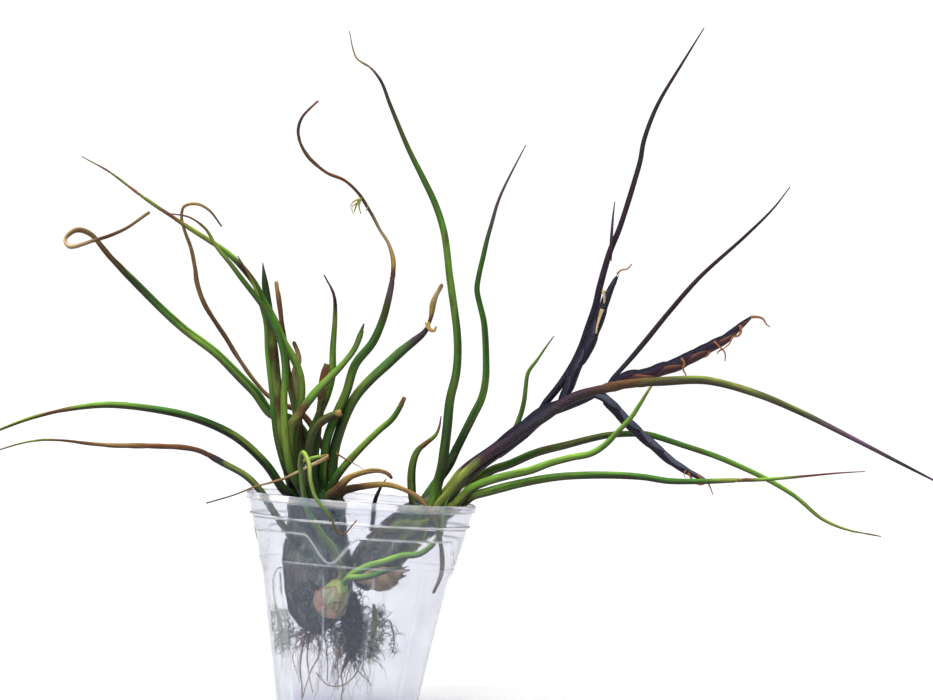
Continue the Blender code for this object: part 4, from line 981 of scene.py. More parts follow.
def plant_skin_group():
    """Blotches, fine lines along the fibres and silvery scales, over a piece's own tints."""
    group = bpy.data.node_groups.get("plant skin")
    if group:
        return group
    group = bpy.data.node_groups.new("plant skin", "ShaderNodeTree")
    group_socket(group, "Tint", "INPUT", "NodeSocketColor", (0.1, 0.2, 0.05, 1))
    group_socket(group, "Dry", "INPUT", "NodeSocketFloat", 0.0)
    group_socket(group, "Fibre", "INPUT", "NodeSocketVector")
    group_socket(group, "Mottle", "INPUT", "NodeSocketFloat", 0.4)
    group_socket(group, "Streaks", "INPUT", "NodeSocketFloat", 0.3)
    group_socket(group, "Bloom", "INPUT", "NodeSocketFloat", 0.2)
    group_socket(group, "Bloom Tint", "INPUT", "NodeSocketColor", (0.3, 0.33, 0.3, 1))
    group_socket(group, "Fresh Roughness", "INPUT", "NodeSocketFloat", 0.42)
    group_socket(group, "Color", "OUTPUT", "NodeSocketColor")
    group_socket(group, "Roughness", "OUTPUT", "NodeSocketFloat")
    group_socket(group, "Height", "OUTPUT", "NodeSocketFloat")
    wiring = Wiring(group)
    given = wiring.node("NodeGroupInput").outputs
    put_out = wiring.node("NodeGroupOutput").inputs

    blotch = wiring.grain(given["Fibre"], (0.7, 0.7, 0.16), 1.0, 3.0)
    darkening = wiring.maths("MULTIPLY", wiring.ramp(blotch, 0.35, 0.68), given["Mottle"])
    dark = wiring.mix(0.75, given["Tint"], (0.02, 0.02, 0.012, 1))
    colour = wiring.mix(darkening, given["Tint"], dark)

    lines = wiring.grain(given["Fibre"], (3.0, 3.0, 0.10), 1.0, 2.0)
    line_share = wiring.maths("MULTIPLY", wiring.ramp(lines, 0.45, 0.7), given["Streaks"])
    light = wiring.mix(1.0, colour, (1.9, 1.75, 1.5, 1), "MULTIPLY")
    colour = wiring.mix(line_share, colour, light)
    cracks = wiring.maths("MULTIPLY", wiring.ramp(lines, 0.42, 0.25), given["Streaks"])
    colour = wiring.mix(cracks, colour, wiring.mix(1.0, colour, (0.4, 0.36, 0.32, 1), "MULTIPLY"))

    flecks = wiring.grain(given["Fibre"], (4.5, 4.5, 2.2), 1.0, 2.0)
    fleck_share = wiring.maths("MULTIPLY", wiring.ramp(flecks, 0.56, 0.7), given["Bloom"])
    colour = wiring.mix(fleck_share, colour, given["Bloom Tint"])
    wiring.feed(put_out["Color"], colour)

    roughness = wiring.maths("MULTIPLY_ADD", given["Dry"], 0.32, given["Fresh Roughness"])
    roughness = wiring.maths("MULTIPLY_ADD", fleck_share, 0.3, roughness, clamp=True)
    wiring.feed(put_out["Roughness"], roughness)

    height = wiring.maths("MULTIPLY", lines, wiring.maths("MULTIPLY_ADD", given["Dry"], 1.4, 0.5))
    height = wiring.maths("MULTIPLY_ADD", flecks, 0.35, height)
    height = wiring.maths("MULTIPLY_ADD", blotch, wiring.maths("MULTIPLY", given["Dry"], 1.2), height)
    wiring.feed(put_out["Height"], height)
    return group


# A finish: its roughness when fresh, how strong its blotches, lines and scales are against the settings,
# the scales' colour, the strength of its bumps, and how much it reflects
Finish = namedtuple("Finish", "roughness mottle streaks bloom bloom_tint bump specular")
FINISHES = {
    "green_leaf": Finish(0.40, 1.0, 1.0, 0.6, (0.30, 0.36, 0.22), 0.25, 0.11),
    "olive_leaf": Finish(0.48, 1.2, 1.1, 1.2, (0.26, 0.24, 0.22), 0.35, 0.12),
    "pale_leaf": Finish(0.45, 0.6, 1.0, 0.6, (0.6, 0.6, 0.4), 0.3, 0.3),
    "dried_leaf": Finish(0.5, 1.1, 1.7, 0.6, (0.5, 0.42, 0.3), 0.7, 0.2),
    "purple_leaf": Finish(0.45, 0.9, 0.9, 1.7, (0.15, 0.15, 0.2), 0.5, 0.07),
    "bulb_skin": Finish(0.6, 1.9, 2.4, 2.6, (0.28, 0.31, 0.28), 0.9, 0.1),
    "root": Finish(0.7, 1.0, 1.2, 0.4, (0.3, 0.26, 0.2), 0.6, 0.15),
    "moss": Finish(0.8, 1.3, 1.0, 1.2, (0.26, 0.3, 0.16), 0.6, 0.1),
}


def plant_material(slot):
    """The material of one finish, made once."""
    made = bpy.data.materials.get(slot + "_finish")
    if made:
        return made
    made = bpy.data.materials.new(slot + "_finish")
    made.use_nodes = True
    finish = FINISHES[slot]
    skin = bpy.context.scene.bulbosa_skin
    wiring = Wiring(made.node_tree)
    shader = made.node_tree.nodes["Principled BSDF"]
    effect = wiring.node("ShaderNodeGroup", node_tree=plant_skin_group())
    for name, output in (("tint", "Color"), ("dry", "Fac"), ("fibre", "Vector")):
        source = wiring.node("ShaderNodeAttribute", attribute_name=name)
        wiring.feed(effect.inputs[name.capitalize()], source.outputs[output])
    effect.inputs["Mottle"].default_value = finish.mottle * skin.mottle
    effect.inputs["Streaks"].default_value = finish.streaks * skin.streaks
    effect.inputs["Bloom"].default_value = finish.bloom * skin.bloom
    effect.inputs["Bloom Tint"].default_value = (*finish.bloom_tint, 1)
    effect.inputs["Fresh Roughness"].default_value = finish.roughness
    bump = wiring.node("ShaderNodeBump")
    bump.inputs["Strength"].default_value = finish.bump
    bump.inputs["Distance"].default_value = 0.0004
    wiring.feed(bump.inputs["Height"], effect.outputs["Height"])
    wiring.feed(shader.inputs["Base Color"], effect.outputs["Color"])
    wiring.feed(shader.inputs["Roughness"], effect.outputs["Roughness"])
    wiring.feed(shader.inputs["Normal"], bump.outputs["Normal"])
    shader.inputs["Specular IOR Level"].default_value = finish.specular
    return made


# The plastic: how much rougher its scuffs are, and the colours of its haze and of the painted highlight along
# its rings and edges
SCUFF_ROUGHNESS = 0.14
HAZE_TINT = (0.45, 0.6, 1.0, 1)
PAINTED_HIGHLIGHT_TINT = (0.97, 0.94, 0.95, 1)


def clear_plastic(wiring, look):
    """The shader of the plastic where it is clear, with scuffs and a faint cloudiness."""
    shader = wiring.tree.nodes["Principled BSDF"]
    shader.inputs["IOR"].default_value = 1.36
    shader.inputs["Transmission Weight"].default_value = 1
    shader.inputs["Metallic"].default_value = 0
    place = wiring.node("ShaderNodeTexCoord").outputs["Object"]
    scuffs = wiring.grain(place, (1.0, 1.0, 0.12), 900.0, 3.0)
    roughness = wiring.ramp(scuffs, 0.5, 0.75, look.roughness, look.roughness + SCUFF_ROUGHNESS)
    wiring.feed(shader.inputs["Roughness"], roughness)
    cloud = wiring.grain(place, (1.0, 1.0, 1.0), 60.0)
    paler = (*(0.5 + 0.5 * part for part in look.tint), 1)
    tint = wiring.mix(wiring.ramp(cloud, 0.3, 0.7), (*look.tint, 1), paler)
    wiring.feed(shader.inputs["Base Color"], tint)
    bump = wiring.node("ShaderNodeBump")
    bump.inputs["Strength"].default_value = 0.12
    bump.inputs["Distance"].default_value = 0.0002
    wiring.feed(bump.inputs["Height"], wiring.grain(place, (1.0, 1.0, 0.3), 220.0))
    wiring.feed(shader.inputs["Normal"], bump.outputs["Normal"])
    return shader.outputs["BSDF"]


def plastic_material():
    """Thin clear plastic with a bluish haze, a painted highlight of white lines along its rings and edges,
    and clear to shadows.
    """
    look = bpy.context.scene.bulbosa_cup
    made = bpy.data.materials.new("clear_plastic")
    made.use_nodes = True
    wiring = Wiring(made.node_tree)
    clear = clear_plastic(wiring, look)

    # Painted highlight: white lines along the rings and panel edges, read from the dry slot
    painted_highlight_mask = wiring.node("ShaderNodeAttribute", attribute_name="dry").outputs["Fac"]
    painted_highlight_shader = wiring.node("ShaderNodeBsdfPrincipled")
    painted_highlight_shader.inputs["Roughness"].default_value = 0.35
    painted_highlight_colour = wiring.mix(wiring.ramp(painted_highlight_mask, 0.0, 0.3), HAZE_TINT, PAINTED_HIGHLIGHT_TINT)
    wiring.feed(painted_highlight_shader.inputs["Base Color"], painted_highlight_colour)
    haze_and_painted_highlight = wiring.node("ShaderNodeMixShader")
    # The bluish haze everywhere, and the painted highlight where its mask is strong
    wiring.feed(haze_and_painted_highlight.inputs["Fac"], wiring.maths("MULTIPLY_ADD", painted_highlight_mask, 0.8, look.haze))
    wiring.feed(haze_and_painted_highlight.inputs[1], clear)
    wiring.feed(haze_and_painted_highlight.inputs[2], painted_highlight_shader.outputs["BSDF"])

    through = wiring.node("ShaderNodeBsdfTransparent")
    through.inputs["Color"].default_value = (*look.tint, 1)
    mixed = wiring.node("ShaderNodeMixShader")
    wiring.feed(mixed.inputs["Fac"], wiring.node("ShaderNodeLightPath").outputs["Is Shadow Ray"])
    wiring.feed(mixed.inputs[1], haze_and_painted_highlight.outputs["Shader"])
    wiring.feed(mixed.inputs[2], through.outputs["BSDF"])
    wiring.feed(made.node_tree.nodes["Material Output"].inputs["Surface"], mixed.outputs["Shader"])
    return made


# The cup. Places on its wall are in millimetres below its rim, and angles grow from the front to the right.
RIM_HALF_WIDTH = 46.0
RIM_ROUNDING = 0.8
LIP_HEIGHT = 3.0
WALL_HALF_WIDTH = 44.9
WALL_TAPER = 0.1875
UPPER_RING = 9.0
PANEL_COUNT = 4
PANEL_TOP = 14.0
PANEL_CORNER = radians(-14)
NOTCH_DEPTH = 10.5
NOTCH_HALF_ANGLE = radians(15)
LOWER_RING = 26.0
LOWER_RING_HEIGHT = 0.35
FACET_TOP = (27.0, 32.0)
FACET_COUNT = 12
FACET_CORNER = radians(12)
FACET_ROUNDING = 0.93
FOOT_TOP = 83.5
FOOT_HEIGHT = 2.5
FOOT_INSET = 1.4
INSIDE_DEPTH = 84.4
CUP_SIDES = 360
CUP_TINT = Vector((0.9, 0.9, 0.95))
# How high the upper face of the cup's floor lies above the lower one
FLOOR_TOP = 1.2


def from_nearest(turn, first, count):
    """How far a turn is from the nearest of this many evenly spaced ones."""
    return (turn - first + pi / count) % (2 * pi / count) - pi / count


def panel_edge(turn):
    """How far down the panels begin, and how far this turn lies into a notch, from 0 to 1."""
    notch = eased(1 - abs(from_nearest(turn, PANEL_CORNER, PANEL_COUNT)) / NOTCH_HALF_ANGLE)
    return PANEL_TOP + NOTCH_DEPTH * notch ** 0.8, notch


def cup_half_width(below, turn):
    """The cup's outer half width, in millimetres."""
    look = bpy.context.scene.bulbosa_cup
    if below < LIP_HEIGHT:
        return RIM_HALF_WIDTH - 0.5 * eased((RIM_ROUNDING - below) / RIM_ROUNDING)
    width = WALL_HALF_WIDTH - WALL_TAPER * below + 0.5 * eased((UPPER_RING + 0.6 - below) / 0.6)
    width += look.ring / MM * peak(below - UPPER_RING, 0.55)
    width -= look.inset / MM * eased((below - panel_edge(turn)[0]) / 1.1)
    width += LOWER_RING_HEIGHT * peak(below - LOWER_RING, 0.5)
    half_facet = pi / FACET_COUNT
    from_middle = half_facet - abs(from_nearest(turn, FACET_CORNER, FACET_COUNT))
    flat = cos(half_facet) / cos(min(from_middle, half_facet * FACET_ROUNDING))
    share = eased((below - FACET_TOP[0]) / (FACET_TOP[1] - FACET_TOP[0]))
    width *= 1 + (flat - 1) * share
    foot = eased((below - FOOT_TOP) / FOOT_HEIGHT)
    return width - FOOT_INSET * foot * foot


def cup_painted_highlight(below, turn):
    """How strong the painted highlight along the rings and panel edges is, from 0 to 1."""
    top, notch = panel_edge(turn)
    painted_highlight = 0.62 * peak(below - UPPER_RING, 0.5)
    painted_highlight += 0.5 * peak(below - top - 0.4, 0.5 + 2.0 * notch * (1 - notch))
    painted_highlight += 0.4 * peak(below - LOWER_RING, 0.35)
    painted_highlight += 0.35 * eased((LIP_HEIGHT - below) / 0.8) + 0.3 * peak(below - LIP_HEIGHT, 0.4)
    corner = from_nearest(turn, FACET_CORNER, FACET_COUNT)
    painted_highlight += 0.3 * peak(corner, 0.012) * eased((below - FACET_TOP[0]) / 5)
    broken = 0.75 + 0.5 * noise.noise(Vector((sin(turn) * 6, cos(turn) * 6, below * 0.3)))
    return min(1.0, painted_highlight * broken)


# The rows of points on the cup's wall: those at its lip, and stretches as (from, to, step) below the rim
LIP_ROWS = [2.8, 3.0, 3.1, 3.6]
CUP_STRETCHES = [(0, 1.2, 0.3), (1.2, 2.8, 0.8), (4.6, 7.8, 1.2), (8.0, 11, 0.3), (11, 28, 0.45),
                 (28, 33, 0.8), (33, 83, 2.6), (83, 86.01, 0.5)]


def cup_rows():
    """Heights below the rim, close together where the cup's wall turns."""
    return sorted(LIP_ROWS + [row for stretch in CUP_STRETCHES for row in np.arange(*stretch).tolist()])


def add_cup():
    """The cup, one closed thin wall with its floor."""
    wall = bpy.context.scene.bulbosa_cup.wall / MM
    surface = Surface()

    def ring(below, inward):
        height = CUP_HEIGHT - below
        numbers = []
        for k in range(CUP_SIDES):
            turn = 2 * pi * k / CUP_SIDES
            width = cup_half_width(below, turn) - inward
            # Painted highlight on the outer face only, carried in the dry slot
            painted_highlight = 0.0 if inward else cup_painted_highlight(below, turn)
            place = Vector((width * sin(turn), -width * cos(turn), height))
            numbers.append(surface.point(place, CUP_TINT, painted_highlight, (turn * 30, 0, height)))
        return numbers

    rows = cup_rows()
    outside = [ring(below, 0.0) for below in rows]
    inside = [ring(below, wall) for below in rows if below < INSIDE_DEPTH]
    for one, other in zip(outside, outside[1:]):
        surface.bridge(one, other)
    for one, other in zip(inside, inside[1:]):
        surface.bridge(other, one)
    surface.bridge(inside[0], outside[0])
    under = surface.point(Vector((0, 0, 0)), CUP_TINT, 0.0, (0, 0, 0))
    surface.fan(outside[-1], under)
    over = surface.point(Vector((0, 0, FLOOR_TOP)), CUP_TINT, 0.0, (0, 0, 0))
    surface.fan(list(reversed(inside[-1])), over)
    surface.piece("cup", "clear", "clear_plastic", plastic_material(), UPRIGHT)


# How coarse the lines on a bulb are against those on a leaf, and how many rows its body has
BULB_GRAIN = 0.38
BULB_ROWS = 46


def add_bulb_body(surface, neck, outline, stops, seed, lumps=0.5, sides=56):
    """A bulb's body with low lumps and lines running down it. Stops are the tints from neck to foot."""
    top, foot = outline[0][0], outline[-1][0]
    rings = []
    for i in range(BULB_ROWS + 1):
        below = top + (foot - top) * i / BULB_ROWS
        width = outline_width(outline, below)
        tint, dry = tint_along(stops, i / BULB_ROWS)
        ring = []
        for k in range(sides):
            turn = 2 * pi * k / sides
            lump = noise.noise(Vector((sin(turn) * 1.5 + seed, cos(turn) * 1.5, below * 0.08)))
            fold = noise.noise(Vector((sin(turn) * 6, cos(turn) * 6 + seed, below * 0.03)))
            out = max(0.2, width + (lump * lumps * 1.6 + fold * lumps) * min(1.0, width / 5))
            fibre = (turn * width * BULB_GRAIN, seed, below * BULB_GRAIN)
            ring.append(surface.point(bulb_place(neck, below, turn, out), tint, dry, fibre))
        rings.append(ring)
    for one, other in zip(rings, rings[1:]):
        surface.bridge(one, other)
    for ring, flip, below in ((rings[0], True, top), (rings[-1], False, foot)):
        end_tint = surface.tints[ring[0]][:3]
        middle = surface.point(bulb_place(neck, below, 0, 0), end_tint, 0.5, (0, seed, below))
        surface.fan(list(reversed(ring)) if flip else ring, middle)


# A sheath is a leaf's base wrapped round its bulb. Turn is where its middle lies, 0 at the front and
# growing to the right, in degrees. It runs from low to high, both distances below the neck.
Sheath = namedtuple("Sheath", "turn half_angle low high lift body edge")
SHEATH_ROWS = 22
SHEATH_COLUMNS = 19
SHEATH_THICKNESS = 0.22

LEFT_SHEATHS = [
    Sheath(-62, 74, 50, 2, 0.4, "slate", "scurf"),
    Sheath(70, 70, 48, 3, 0.4, "slate", "scurf"),
    Sheath(8, 62, 49, 9, 0.8, "slate", "scurf"),
    Sheath(-30, 50, 51, 17, 1.2, "bark", "scurf"),
    Sheath(42, 44, 47, 20, 1.1, "bark", "scurf"),
    Sheath(150, 72, 50, 4, 0.6, "slate", "bark"),
    Sheath(-128, 66, 50, 8, 0.7, "bark", "brown"),
    Sheath(-8, 38, 52, 29, 1.6, "char", "bark"),
    Sheath(100, 46, 50, 24, 1.1, "bark", "brown"),
]
RIGHT_SHEATHS = [
    Sheath(-40, 70, 46, 0, 0.3, "slate", "yellow"),
    Sheath(60, 72, 46, 2, 0.4, "slate", "scurf"),
    Sheath(5, 58, 47, 8, 0.8, "slate", "yellow"),
    Sheath(-20, 46, 48, 20, 1.1, "char", "scurf"),
    Sheath(170, 78, 47, 4, 0.6, "slate", "bark"),
    Sheath(35, 44, 49, 30, 1.3, "slate", "bark"),
    Sheath(-100, 60, 47, 12, 0.8, "bark", "brown"),
    Sheath(110, 54, 48, 16, 0.9, "slate", "bark"),
]
PUP_SHEATHS = [
    Sheath(-46, 78, 14.6, -2.5, 0.25, "yellow", "tan"),
    Sheath(62, 74, 14.2, 0.5, 0.35, "pale", "brown"),
    Sheath(-20, 58, 14.8, 1.2, 0.7, "pale", "rust"),
    Sheath(38, 46, 14.8, 5.0, 0.95, "pale", "brown"),
    Sheath(-60, 44, 15.0, 6.0, 1.1, "peach", "rust"),
    Sheath(10, 34, 15.0, 9.0, 1.3, "peach", "tan"),
    Sheath(165, 80, 14.6, 1.0, 0.4, "pale", "peach"),
]


def add_sheath(surface, neck, outline, sheath, seed):
    """One sheath, a pointed sheet with thin dry margins that follows its bulb."""
    body, edge = tint_of(sheath.body), tint_of(sheath.edge)
    grid, tints = [], []
    for i in range(SHEATH_ROWS):
        along = i / (SHEATH_ROWS - 1)
        below = sheath.low - (sheath.low - sheath.high) * along
        width = outline_width(outline, below)
        spread = radians(sheath.half_angle) * (0.35 + 0.65 * sin(pi * min(1.0, along * 0.9 + 0.12)) ** 0.7)
        spread *= 1 - eased((along - 0.72) / 0.30) * 0.9
        row, row_tints = [], []
        for j in range(SHEATH_COLUMNS):
            across = 2 * j / (SHEATH_COLUMNS - 1) - 1
            ragged = 1 + 0.12 * noise.noise(Vector((seed, along * 7, across)))
            turn = radians(sheath.turn) + spread * across * ragged
            margin = max(abs(across) ** 5, eased((along - 0.86) / 0.14))
            lump = noise.noise(Vector((turn * 1.7 + seed, 2.1, below * 0.09)))
            ripple = noise.noise(Vector((turn * 7, seed, below * 0.05)))
            lift = sheath.lift + 0.45 * lump + 0.18 * ripple + 0.5 * margin
            row.append(bulb_place(neck, below, turn, width + lift * min(1.0, width / 4)))
            patch = 0.5 + 0.7 * noise.noise(Vector((turn * 3.2, below * 0.16, seed + 4)))
            share = min(1.0, margin * (0.35 + 0.65 * patch) + 1.1 * patch ** 3)
            row_tints.append(between(body, edge, share))
        grid.append(row)
        tints.append(row_tints)
    add_sheet(surface, grid, tints, SHEATH_THICKNESS, BULB_GRAIN, seed)


def add_bulb(node, slot, neck, outline, sheaths, stops, seed, lumps=0.5):
    """A bulb's body and the sheaths round it, as one piece."""
    surface = Surface()
    add_bulb_body(surface, neck, outline, stops, seed, lumps)
    for k, sheath in enumerate(sheaths):
        add_sheath(surface, neck, outline, sheath, seed + k * 1.7)
    surface.piece(node, "sheathed", slot)


# The dry flap by the right bulb's foot: its upper and lower edges as (across, up), and how far across its
# torn edge reaches, as (share of the way down, across). It lies at a depth that grows to the right.
FLAP_UPPER = [(-2, -31.5), (3, -28.4), (8, -27.4), (13, -27.9), (20, -27.4)]
FLAP_LOWER = [(-2, -33), (3, -36), (7, -37.4), (12, -36.8), (16, -34.6), (20, -32.5)]
FLAP_REACH = [
    (0, 19.2), (0.12, 16.6), (0.3, 19.9), (0.42, 16.2), (0.56, 18.4), (0.7, 14.5), (0.85, 15.0), (1, 10.5)]
FLAP_START = -1.5
FLAP_MIDDLE = 9
FLAP_DEPTH = -2.9
FLAP_TURN = 0.213
FLAP_ROWS = 26
FLAP_COLUMNS = 40
FLAP_THICKNESS = 0.28


def add_dry_flap():
    """The torn, curling flap of an old sheath, with painted shade darkening its ragged end."""
    pale, pale_dry = tint_of("straw")
    bark, char = tint_of("bark")[0], tint_of("char")[0]
    grid, tints = [], []
    for i in range(FLAP_ROWS):
        down = i / (FLAP_ROWS - 1)
        reach = float(np.interp(down, *zip(*FLAP_REACH)))
        row, row_tints = [], []
        for j in range(FLAP_COLUMNS):
            along = j / (FLAP_COLUMNS - 1)
            across = FLAP_START + (reach - FLAP_START) * along
            upper = float(np.interp(across, *zip(*FLAP_UPPER)))
            lower = float(np.interp(across, *zip(*FLAP_LOWER)))
            crease = noise.noise(Vector((across * 0.35, down * 2.5, 5.0)))
            ripple = noise.noise(Vector((across * 1.1, down * 7, 1.0)))
            depth = FLAP_DEPTH + (across - FLAP_MIDDLE) * FLAP_TURN - 1.5 * sin(pi * down)
            row.append(Vector((across, depth + 1.1 * crease + 0.3 * ripple, upper + (lower - upper) * down)))
            # Painted shade of the notches: darker towards the ragged end
            torn = eased((along - 0.80) / 0.2) * (0.5 + 0.7 * noise.noise(Vector((down * 9, along * 4, 2.0))))
            patch = 0.5 + 0.5 * noise.noise(Vector((across * 0.3, down * 3, 9.0)))
            stained = pale.lerp(bark, 0.25 + 0.6 * patch)
            row_tints.append((stained.lerp(char, min(1.0, max(0.0, torn * 1.6))), pale_dry))
        grid.append(row)
        tints.append(row_tints)
    surface = Surface()
    add_sheet(surface, grid, tints, FLAP_THICKNESS)
    surface.piece("dry_sheath", "torn", "dried_leaf")


# The tints of each flower spike's bracts, middle and edge: of those above, and of those under it. The steel
# on the upper bracts is partly silvery scales and partly painted highlight.
SPIKE_TINTS = {
    "upright_flower_spike": (("indigo", "steel"), ("indigo", "char")),
    "right_flower_spike": (("indigo", "plum"), ("plum", "copper")),
    "drooping_flower_spike": (("steel", "indigo"), ("indigo", "plum")),
}
BRACT_STEP = 6.2
BRACT_LENGTH = 16.0
BRACT_ROWS = 16
BRACT_COLUMNS = 15
BRACT_THICKNESS = 0.22
BRACT_CREASE = 0.12
# The sheaths round the flowering stem, as (start, length) along it
STEM_SHEATHS = [(7, 32), (17, 34), (28, 34), (40, 30), (50, 24)]


def add_bract(surface, line, start, length, side, widths, tints):
    """A pointed bract that clasps its stem. Side is 1 for the upper side as it is seen, else -1."""
    spacing = (line[1] - line[0]).length
    frames = carried_frames(line)
    back, edge = tints
    grid, colours = [], []
    for i in range(BRACT_ROWS):
        along = i / (BRACT_ROWS - 1)
        place = min((start + length * along) / spacing, len(line) - 1.001)
        k = int(place)
        middle = line[k].lerp(line[k + 1], place - k)
        beyond = (start + length * along) - (len(line) - 1) * spacing
        if beyond > 0:
            middle = middle + frames[-1][0] * beyond
        way = Vector((-frames[k][0].z, 0, frames[k][0].x)).normalized() * side
        deep = frames[k][0].cross(way)
        width = read_along(widths, place / (len(line) - 1))
        spread = radians(112) * (1 - along ** 2.4) ** 0.9 + radians(7)
        out = (width * (0.82 + 0.2 * along) + 0.25) * (1 - 0.45 * eased((along - 0.7) / 0.3))
        row, row_colours = [], []
        for j in range(BRACT_COLUMNS):
            across = 2 * j / (BRACT_COLUMNS - 1) - 1
            turn = spread * across
            uneven = noise.noise(Vector((start, along * 4, across * 2)))
            lifted = out * (1 + (BRACT_CREASE * uneven + BRACT_CREASE * peak(across, 0.16)))
            row.append(middle + (way * cos(turn) + deep * sin(turn)) * lifted)
            margin = max(abs(across) ** 4 * 0.9, eased((along - 0.85) / 0.15) * 0.8)
            worn = 0.5 + 0.5 * noise.noise(Vector((start * 0.3, along * 2.2, across * 1.5)))
            row_colours.append(between(back, edge, min(1.0, margin * (0.3 + worn))))
        grid.append(row)
        colours.append(row_colours)
    add_sheet(surface, grid, colours, BRACT_THICKNESS)


def add_spike(surface, spike):
    """A flower spike: its axis, then overlapping bracts in two ranks."""
    line = line_along(spike.route, 0.6)
    length = (line[1] - line[0]).length * (len(line) - 1)
    widths = spike.half_widths
    core = [max(0.35, read_along(widths, share) * (0.95 - 0.35 * eased(share * 5)))
            for share in shares_along(line)]
    add_tube(surface, line, core, [tint_of("indigo")] * len(line), 12, wrinkles=0.1, seed=1.3)
    upper, lower = ([tint_of(name) for name in names] for names in SPIKE_TINTS[spike.name])
    start, side, k = 1.0, 1, 0
    while start < length - 4:
        long = min(BRACT_LENGTH, length - start + 1.5)
        add_bract(surface, line, start, long, side, widths, upper if side > 0 else lower)
        start += BRACT_STEP * (0.9 + 0.2 * ((k * 7) % 3) / 2)
        side, k = -side, k + 1
    add_threads(surface, spike.name)


def add_stem(surface, stem):
    """The flowering stem, with long dark sheaths that clasp it."""
    add_leaf(surface, stem, RIGHT_NECK)
    line = line_along(stem.route, 0.8)
    tints = tint_of("indigo"), tint_of("plum")
    side = 1
    for start, length in STEM_SHEATHS:
        add_bract(surface, line, start, length, side, stem.half_widths, tints)
        side = -side


# The room for roots in the cup, from the plant's own axes: how far down its floor is, and its half width,
# which shrinks downward. Its middle moves left on the way down, because the cup leans.
ROOM_FLOOR = -82.3
ROOM_HALF_WIDTH = 41.5
ROOM_TAPER = 0.19
ROOM_LEAN = 0.07


def inside_cup(place):
    """The place, pulled in where it would pass through the cup's wall or floor."""
    up = max(place.z, ROOM_FLOOR)
    middle = up * ROOM_LEAN
    room = ROOM_HALF_WIDTH + up * ROOM_TAPER
    out = Vector((place.x - middle, place.y, 0))
    if out.length > room:
        out *= room / out.length
    return Vector((middle + out.x, out.y, up))


def wander(random, start, way, length, sag, step, bend):
    """Places along a root that bends at random and sinks."""
    places = [start]
    for _ in range(max(3, round(length / step))):
        turn = Vector((random.gauss(0, bend), random.gauss(0, bend), random.gauss(0, bend) - sag))
        way = (way + turn).normalized()
        places.append(inside_cup(places[-1] + way * step))
    return places


# Fine roots or moss strands of one kind: their tints, the least and greatest length and the half width in
# millimetres, and how much they sink and bend at each step
Strands = namedtuple("Strands", "tints lengths half_width sag bend")

DARK_ROOTS = ["soil", "char", "soil", "bark", "thread"]
MASS_ROOTS = Strands(DARK_ROOTS, (5, 15), 0.24, 0.12, 0.55)
LOW_ROOTS = Strands(DARK_ROOTS, (12, 24), 0.22, 0.35, 0.35)
FOOT_ROOTS = Strands(["soil", "bark", "char", "thread"], (5, 14), 0.2, 0.3, 0.5)
LONG_FOOT_ROOTS = Strands(["thread", "bark", "tan"], (18, 30), 0.17, 0.4, 0.25)

# The three clumps of moss, in the order of the roots' table: what the number of strands is divided by,
# the stretch of the clump's route that they grow on, and how they grow
MOSS = ["moss", "moss", "moss", "slate", "soil"]
CLUMPS = [
    (2, (0.52, 1), Strands(MOSS, (2, 6), 0.16, 0.10, 0.7)),
    (1, (0.1, 1), Strands(MOSS, (1.5, 4), 0.16, 0.10, 0.7)),
    (12, (0.2, 1), Strands(MOSS, (3, 7), 0.16, 0.10, 0.7)),
]

STRAND_SPACING = 1.1
STRAND_SIDES = 4


def add_strands(surface, random, count, strands, middle_at, width_at):
    """Fine roots or moss strands that grow out of a clump. Its middle and half width are read at a share."""
    for _ in range(count):
        share = random.random()
        turn = random.uniform(0, 2 * pi)
        out = Vector((cos(turn), sin(turn), random.uniform(-0.5, 0.3)))
        start = middle_at(share) + out * width_at(share) * random.uniform(0.55, 1.0)
        thin = strands.half_width * random.uniform(0.6, 1.25)
        length = random.uniform(*strands.lengths)
        step = random.uniform(1.1, 2.2)
        places = wander(random, inside_cup(start), out.normalized(), length, strands.sag, step, strands.bend)
        line = evenly_spaced(smooth_route(places), STRAND_SPACING, 4)
        (one, dry), (other, _) = tint_of(random.choice(strands.tints)), tint_of(random.choice(strands.tints))
        tints = [(one.lerp(other, share), dry) for share in shares_along(line)]
        radii = narrowing(thin, 0.65, len(line))
        add_tube(surface, line, radii, tints, STRAND_SIDES, seed=random.uniform(0, 5))


def moss_clump(leaf, count, spread, strands, seed):
    """A clump of moss along its route, with a dark heart and many short strands."""
    surface = Surface()
    line = line_along(leaf.route, 1.2)
    widths = [read_along(leaf.half_widths, share) for share in shares_along(line)]
    heart = [width * 0.35 if width > 1.3 else min(width, 0.45) * 0.6 for width in widths]
    tints = [tint_of("moss") if width > 0.6 else tint_of("char") for width in heart]
    add_tube(surface, line, heart, tints, 10, seed=2.0)
    last = len(line) - 1

    def middle_at(share):
        place = (spread[0] + (spread[1] - spread[0]) * share) * last
        k = min(int(place), last - 1)
        return line[k].lerp(line[k + 1], place - k)

    def width_at(share):
        return read_along(leaf.half_widths, spread[0] + (spread[1] - spread[0]) * share)

    add_strands(surface, Random(seed), count, strands, middle_at, width_at)
    surface.piece(leaf.name, "grown", "moss")


